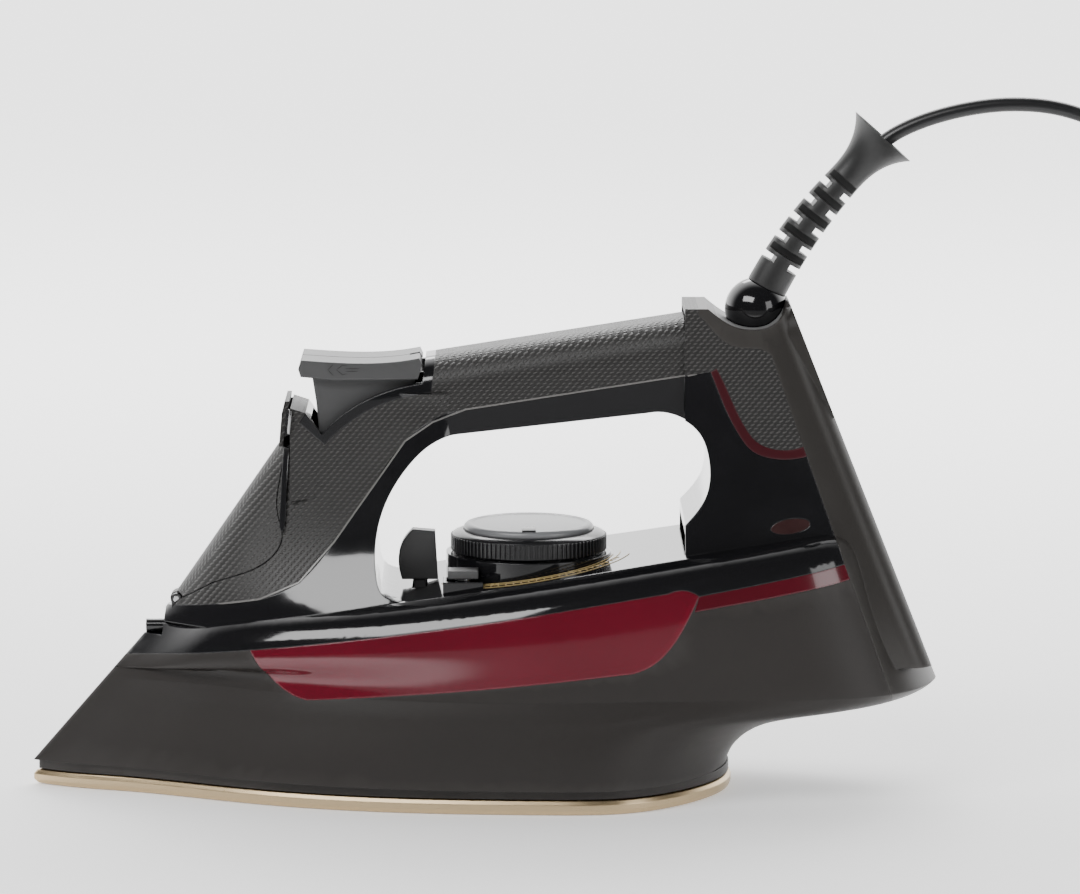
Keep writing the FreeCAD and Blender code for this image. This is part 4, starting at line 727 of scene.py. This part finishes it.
# ---- operators --------------------------------------------------------------------------------
class IRON_OT_stage(bpy.types.Operator):
    """Floor, soft lights and the camera"""
    bl_idname = "iron.stage"
    bl_label = "Stage"

    def execute(self, context):
        studio = settings()[0]
        bm = bmesh.new()
        corners = (
            (-FLOOR_X, FLOOR_FRONT), (FLOOR_X, FLOOR_FRONT),
            (FLOOR_X, FLOOR_BACK), (-FLOOR_X, FLOOR_BACK))
        bm.faces.new([bm.verts.new((x, y, 0.0)) for x, y in corners])
        floor = mesh_piece("floor", bm)
        floor.data.materials.append(floor_material())
        world = bpy.data.worlds.new("Studio")
        world.use_nodes = True
        tree = world.node_tree
        background = tree.nodes["Background"]
        coordinates = tree.nodes.new("ShaderNodeTexCoord")
        parts = tree.nodes.new("ShaderNodeSeparateXYZ")
        tree.links.new(coordinates.outputs["Generated"], parts.inputs[0])
        behind = map_range(tree, parts.outputs["Y"], -0.05, 0.60, studio.sky_front, studio.sky)
        tree.links.new(behind, background.inputs["Strength"])
        background.inputs["Color"].default_value = (1.0, 1.0, 1.0, 1.0)
        context.scene.world = world
        lights = (
            ("key", (-0.9, -1.3, 1.5), (1.5, 0.7), studio.key_power),
            ("fill", (1.5, -1.2, 0.5), (0.8, 1.2), studio.fill_power),
            ("rim", (0.3, 1.3, 1.3), (1.6, 0.5), studio.rim_power),
        )
        for name, place, size, power in lights:
            lamp = bpy.data.lights.new(name, "AREA")
            lamp.shape = "RECTANGLE"
            lamp.size, lamp.size_y = size
            lamp.energy = power
            holder = add_object(name, lamp)
            holder.location = place
            toward = Vector(LIGHT_AIM) - Vector(place)
            holder.rotation_euler = toward.to_track_quat("-Z", "Y").to_euler()
        camera = bpy.data.cameras.new("camera")
        camera.lens = studio.lens
        camera.sensor_width = SENSOR_WIDTH
        camera.clip_start = 0.05
        camera.clip_end = 30.0
        distance, height = studio.camera_distance, studio.camera_height
        eye = Vector((EYE_X, -distance * math.cos(height), EYE_PIVOT_Z + distance * math.sin(height)))
        aim = Vector(CAMERA_AIM)
        holder = add_object("camera", camera)
        holder.location = eye
        holder.rotation_euler = (aim - eye).to_track_quat("-Z", "Y").to_euler()
        context.scene.camera = holder
        return {"FINISHED"}


class IRON_OT_cord(bpy.types.Operator):
    """The mains cord, its coil and what is on it"""
    bl_idname = "iron.cord"
    bl_label = "Cord"

    def execute(self, context):
        floor_z = CORD_D / 2 + FLOOR_GAP
        points = [CORD_EXIT, *CORD_ROUTE, (COIL_X - COIL_STUB, 0.0, floor_z)]
        centre_y = COIL_MID_R + 0.5 * COIL_COLUMNS * CORD_D - 0.5 * CORD_D
        turns = []
        for layer in range(COIL_LAYERS):
            order = range(COIL_COLUMNS)
            if layer % 2 == 0:
                order = reversed(order)
            turns += [(layer, column) for column in order]
        turns = turns[:-1]
        step = 2 * math.pi / POINTS_A_TURN
        total = len(turns) * POINTS_A_TURN + POINTS_A_TURN // 2
        for i in range(1, total + 1):
            turn = i / POINTS_A_TURN
            number = min(int(turn), len(turns) - 1)
            following = min(number + 1, len(turns) - 1)
            blend = 0.0
            if int(turn) < len(turns):
                blend = max(0.0, (turn - int(turn) - SHIFT_FROM) / (1.0 - SHIFT_FROM))
            column = turns[number][1] + (turns[following][1] - turns[number][1]) * blend
            layer = turns[number][0] + (turns[following][0] - turns[number][0]) * blend
            radius = COIL_MID_R + (column - 0.5 * (COIL_COLUMNS - 1)) * CORD_D
            angle = -0.5 * math.pi + i * step
            points.append((
                COIL_X + radius * math.cos(angle), centre_y + radius * math.sin(angle),
                floor_z + layer * CORD_D * LAYER_PRESS))
        curve = bpy.data.curves.new("mains_cord", "CURVE")
        curve.dimensions = "3D"
        curve.bevel_depth = CORD_D / 2
        curve.bevel_resolution = 5
        curve.resolution_u = 6
        curve.use_fill_caps = True
        back_y = centre_y + COIL_MID_R + 0.5 * (COIL_COLUMNS - 1) * CORD_D
        top_z = points[-1][2]
        for reach, height in COIL_DESCENT:
            points.append((COIL_X - reach, back_y, floor_z + height * (top_z - floor_z)))
        spline = curve.splines.new("NURBS")
        spline.points.add(len(points) - 1)
        for point, place in zip(spline.points, points):
            point.co = (*place, 1.0)
        spline.order_u = 3
        spline.use_endpoint_u = True
        cord = add_object("mains_cord", curve)
        curve.materials.append(plastic(
            "Cord jacket", (0.011, 0.011, 0.012), 0.34, spread=0.12, grain=1200.0, depth=0.00001))
        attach(cord, "iron")
        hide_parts("cord_tube", "cord_coil")
        jacket = plastic(
            "Plug rubber", (0.013, 0.013, 0.014), 0.38, spread=0.1, grain=1500.0, depth=0.00002,
            edge=0.0006)
        paint("plug_body", jacket)
        paint("plug_pins", metal("Plated brass", (0.80, 0.62, 0.34), 0.25))
        paint("coil_tie", plastic("Tie strip", (0.02, 0.02, 0.022), 0.6, grain=700.0, depth=0.0001))
        return {"FINISHED"}


class IRON_OT_shells(bpy.types.Operator):
    """Housing, skirt, cover, grip and door, with the blade and the lip drawn on them. The lip is a real
    raised line, painted light grey as a painted highlight.
    """
    bl_idname = "iron.shells"
    bl_label = "Shells"

    def execute(self, context):
        finish = settings()[1]
        gloss = plastic(
            "Gloss black", finish.gloss, 0.09, spread=0.05, grain=260.0, depth=0.000004, rub=0.2,
            edge=0.0006, Coat_Weight=0.3, Coat_Roughness=0.04)
        matte = plastic(
            "Skirt matte", finish.skirt, 0.47, spread=0.10, grain=2600.0, depth=0.00003, rub=0.6,
            edge=0.0006, Specular_IOR_Level=0.35)
        satin = plastic(
            "Cover satin", finish.cover, 0.40, spread=0.10, grain=2200.0, depth=0.00002, rub=0.6,
            edge=0.0008, Specular_IOR_Level=0.4)
        gloss_nodes = (
            "upper_housing", "button_bezel", "dial_base", "clean_bezel", "spray_nozzle", "cord_ball")
        for node in gloss_nodes:
            paint(node, gloss)
        paint("lower_skirt", matte)
        paint("base_ring", matte)
        paint("rear_cover", satin)
        paint("handle_grip", grip_material())
        paint("fill_door", grip_material())
        ribbons("door_blade", ("fill_door", "handle_grip"), [DOOR_BLADE], 0.0020, 0.0011, gloss, "door")
        # the lip along the grip's foot is raised geometry, but its light grey colour is a painted
        # highlight line where the gloss edge would catch light
        lip = plastic("Bright lip", (0.16, 0.155, 0.15), 0.18, depth=0.000002, rub=0.0, edge=0.0002)
        ribbons("grip_lip", ("handle_grip", "upper_housing"), [GRIP_FOOT], 0.00055, 0.00022, lip, "iron")
        return {"FINISHED"}


class IRON_OT_tank(bpy.types.Operator):
    """Water tank, red strips and trims, indicator"""
    bl_idname = "iron.tank"
    bl_label = "Tank"

    def execute(self, context):
        paint("water_tank", tank_material("Tank crimson", 0.10, 0.35))
        paint("side_strips", tank_material("Strip crimson", 0.16, 0.0, 0.42))
        paint("grip_trims", tank_material("Trim crimson", 0.30, 0.0, 0.24))
        paint("indicator_lens", plastic(
            "Smoked lens", (0.03, 0.012, 0.012), 0.12, grain=900.0, depth=0.00004))
        return {"FINISHED"}


class IRON_OT_soleplate(bpy.types.Operator):
    """Soleplate, and the cast plate and lid above it"""
    bl_idname = "iron.soleplate"
    bl_label = "Soleplate"

    def execute(self, context):
        finish = settings()[1]
        paint("soleplate", metal(
            "Champagne plate", finish.sole, 0.30, stretch=(0.05, 1.0, 1.0), scale=2200.0, edge=0.0005))
        cast = metal("Cast aluminium", (0.55, 0.55, 0.56), 0.5, scale=700.0, depth=0.00005)
        for node in ("heating_plate", "chamber_lid"):
            paint(node, cast)
        return {"FINISHED"}


class IRON_OT_dial(bpy.types.Operator):
    """Ribbed ring and cap of the temperature dial"""
    bl_idname = "iron.dial"
    bl_label = "Dial"

    def execute(self, context):
        shape = settings()[2]
        centre = (DIAL_X, 0.0)
        outer = 0.5 * (RING_HIGH.x - RING_LOW.x)
        body_r = outer - shape.rib_depth
        low, high = RING_LOW.z, RING_HIGH.z
        bm = bmesh.new()
        lathe(bm, [
            (0.004, low), (body_r - 0.0004, low), (body_r, low + 0.0004), (body_r, high - 0.0014),
            (body_r - 0.0004, high - 0.0010), (body_r - 0.0030, high), (body_r - 0.0036, high),
            (body_r - 0.0038, high - 0.0006), (0.004, high - 0.0006), (0.004, low),
        ], 128, centre)
        ring = mesh_piece("dial_ring", bm, smooth_angle=40.0)
        black = plastic(
            "Dial black", (0.010, 0.010, 0.011), 0.22, grain=1800.0, depth=0.00001, edge=0.0003)
        ring.data.materials.append(black)
        rib_h = high - low - 0.0020
        rib = block_mesh("rib", (2 * shape.rib_depth, 0.00085, rib_h), 0.00022)
        ribs = along_arc(
            "dial_ribs", rib, shape.ribs, body_r, 0.0, 2 * math.pi / shape.ribs, black,
            Matrix.Translation((DIAL_X, 0.0, low + 0.0004 + rib_h / 2)))
        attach(ring, "dial")
        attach(ribs, "dial")
        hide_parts("temperature_dial")
        cap_r = 0.5 * (CAP_HIGH.x - CAP_LOW.x)
        top = CAP_HIGH.z - 0.0008
        bm = bmesh.new()
        lathe(bm, [
            (0.0, CAP_LOW.z), (cap_r - 0.0006, CAP_LOW.z), (cap_r, CAP_LOW.z + 0.0006),
            (cap_r, top - 0.0009),
            (cap_r - 0.0008, top - 0.0002), (cap_r - 0.0016, top), (cap_r - 0.0024, top),
            (cap_r - 0.0028, top - 0.00035), (cap_r - 0.0034, top - 0.0003),
            (0.6 * cap_r, top - 0.00012), (0.0, top),
        ], 128, centre)
        cap = mesh_piece("dial_disc", bm, smooth_angle=50.0)
        cap.data.materials.append(plastic(
            "Dial grey", (0.17, 0.172, 0.178), 0.34, spread=0.06, grain=500.0, depth=0.000004,
            edge=0.0003, Coat_Weight=0.2, Coat_Roughness=0.10))
        bm = bmesh.new()
        bevelled_block(bm, (0.0046, 0.0088, 0.0011), (DIAL_X, -cap_r + 0.0052, top), 0.0004)
        pointer = mesh_piece("dial_pointer", bm)
        pointer.data.materials.append(black)
        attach(cap, "dial")
        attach(pointer, "dial")
        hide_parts("dial_cap")
        return {"FINISHED"}


class IRON_OT_deck_marks(bpy.types.Operator):
    """Printed lines, ticks and dots round the dial"""
    bl_idname = "iron.deck_marks"
    bl_label = "Deck marks"

    def execute(self, context):
        finish, shape = settings()[1:]
        gold = plastic(
            "Printed gold", finish.mark, 0.35, grain=1500.0, depth=0.000004, rub=0.0, edge=0.0)
        tilt = Matrix.Rotation(-math.atan(DECK_TILT), 4, "Y")
        place = Matrix.Translation((DIAL_X, 0.0, DECK_Z + shape.mark_height)) @ tilt
        for name, (length, width), count, radius, start, step in MARK_ROWS:
            mesh = block_mesh(name, (length, width, 2 * shape.mark_height), 0.3 * shape.mark_height)
            turn = 2 * DASH / radius if step is None else math.radians(step)
            marks = along_arc(name, mesh, count, radius, math.radians(start), turn, gold, place)
            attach(marks, "iron")
        return {"FINISHED"}


class IRON_OT_keys(bpy.types.Operator):
    """Buttons, steam lever and self-clean key"""
    bl_idname = "iron.keys"
    bl_label = "Keys"

    def execute(self, context):
        grey = plastic(
            "Button satin", (0.050, 0.050, 0.051), 0.36, spread=0.08, grain=1800.0, depth=0.00001,
            edge=0.0010)
        for node in ("spray_button", "steam_button", "steam_lever", "self_clean_key"):
            paint(node, grey)
        ink = plastic("Icon lines", (0.018, 0.018, 0.018), 0.5, depth=0.00001, rub=0.0, edge=0.0)
        strokes = [
            [(ICON_CENTRE[0] + x, ICON_CENTRE[1] + z) for x, z in stroke] for stroke in ICON_STROKES]
        for node, body, side in (("spray_button", "spray_key", -1), ("steam_button", "steam_key", 1)):
            ribbons(node + "_icon", (node,), strokes, 0.00028, ICON_LIFT, ink, body,
                    (side,))
        return {"FINISHED"}


class IRON_OT_boot(bpy.types.Operator):
    """Cord boot"""
    bl_idname = "iron.boot"
    bl_label = "Boot"

    def execute(self, context):
        paint("cord_boot", plastic(
            "Boot rubber", (0.016, 0.016, 0.016), 0.44, spread=0.12, grain=1400.0, depth=0.00003,
            edge=0.0006))
        return {"FINISHED"}


class IRON_OT_inner(bpy.types.Operator):
    """Everything inside the shells"""
    bl_idname = "iron.inner"
    bl_label = "Inner parts"

    def execute(self, context):
        steel = metal("Bright steel", (0.62, 0.62, 0.63), 0.28)
        groups = (
            (steel, (
                "thermostat", "door_hinge_pin", "button_pin", "heat_shield", "spray_spring",
                "steam_spring", "clean_spring", "valve_needle", "cover_screws")),
            (metal("Element sheath", (0.25, 0.24, 0.23), 0.45), ("heating_element",)),
            (metal("Valve brass", (0.72, 0.53, 0.25), 0.3), ("valve_seat",)),
            (plastic("Glazed ceramic", (0.80, 0.78, 0.72), 0.25), ("thermal_fuse", "terminal_block")),
            (plastic("Inner plastic", (0.20, 0.20, 0.20), 0.5), (
                "pump_cradle", "pump_cylinders", "spray_plunger", "steam_plunger", "dial_shaft",
                "cord_socket", "rear_bulkhead", "cord_clamp")),
            (plastic("Neck plastic", (0.03, 0.028, 0.026), 0.45), ("filler_neck",)),
            (plastic("Seal rubber", (0.02, 0.02, 0.02), 0.6), ("filler_seal", "drip_tube")),
            (plastic("Silicone hose", (0.55, 0.55, 0.53), 0.35), (
                "spray_hose", "steam_hose", "suction_tube")),
            (plastic("Circuit board", (0.02, 0.13, 0.05), 0.35), ("auto_off_board",)),
            (plastic("Mains lead", (0.15, 0.06, 0.03), 0.4), ("mains_leads",)),
            (plastic("Sleeved lead", (0.72, 0.71, 0.68), 0.7), ("heater_leads",)),
        )
        for material, nodes in groups:
            for node in nodes:
                paint(node, material)
        return {"FINISHED"}


class IRON_PT_panel(bpy.types.Panel):
    """Builds the iron's pieces one by one"""
    bl_idname = "IRON_PT_panel"
    bl_label = "Steam iron"
    bl_space_type = "VIEW_3D"
    bl_region_type = "UI"
    bl_category = "Iron"

    def draw(self, context):
        for operator in OPERATORS:
            self.layout.operator(operator.bl_idname)
        for group in settings():
            for name in group.bl_rna.properties.keys():
                if name not in {"rna_type", "name"}:
                    self.layout.prop(group, name)


OPERATORS = (
    IRON_OT_stage, IRON_OT_cord, IRON_OT_shells, IRON_OT_tank, IRON_OT_soleplate, IRON_OT_dial,
    IRON_OT_deck_marks, IRON_OT_keys, IRON_OT_boot, IRON_OT_inner,
)
GROUPS = (IronStudioSettings, IronFinishSettings, IronShapeSettings)


def register():
    for item in (*GROUPS, *OPERATORS, IRON_PT_panel):
        bpy.utils.register_class(item)
    bpy.types.Scene.iron_studio = bpy.props.PointerProperty(type=IronStudioSettings)
    bpy.types.Scene.iron_finish = bpy.props.PointerProperty(type=IronFinishSettings)
    bpy.types.Scene.iron_shape = bpy.props.PointerProperty(type=IronShapeSettings)


def unregister():
    del bpy.types.Scene.iron_studio
    del bpy.types.Scene.iron_finish
    del bpy.types.Scene.iron_shape
    for item in reversed((*GROUPS, *OPERATORS, IRON_PT_panel)):
        bpy.utils.unregister_class(item)


def main():
    register()
    bpy.ops.iron.stage()
    bpy.ops.iron.cord()
    bpy.ops.iron.shells()
    bpy.ops.iron.tank()
    bpy.ops.iron.soleplate()
    bpy.ops.iron.dial()
    bpy.ops.iron.deck_marks()
    bpy.ops.iron.keys()
    bpy.ops.iron.boot()
    bpy.ops.iron.inner()


if __name__ == "__main__":
    main()
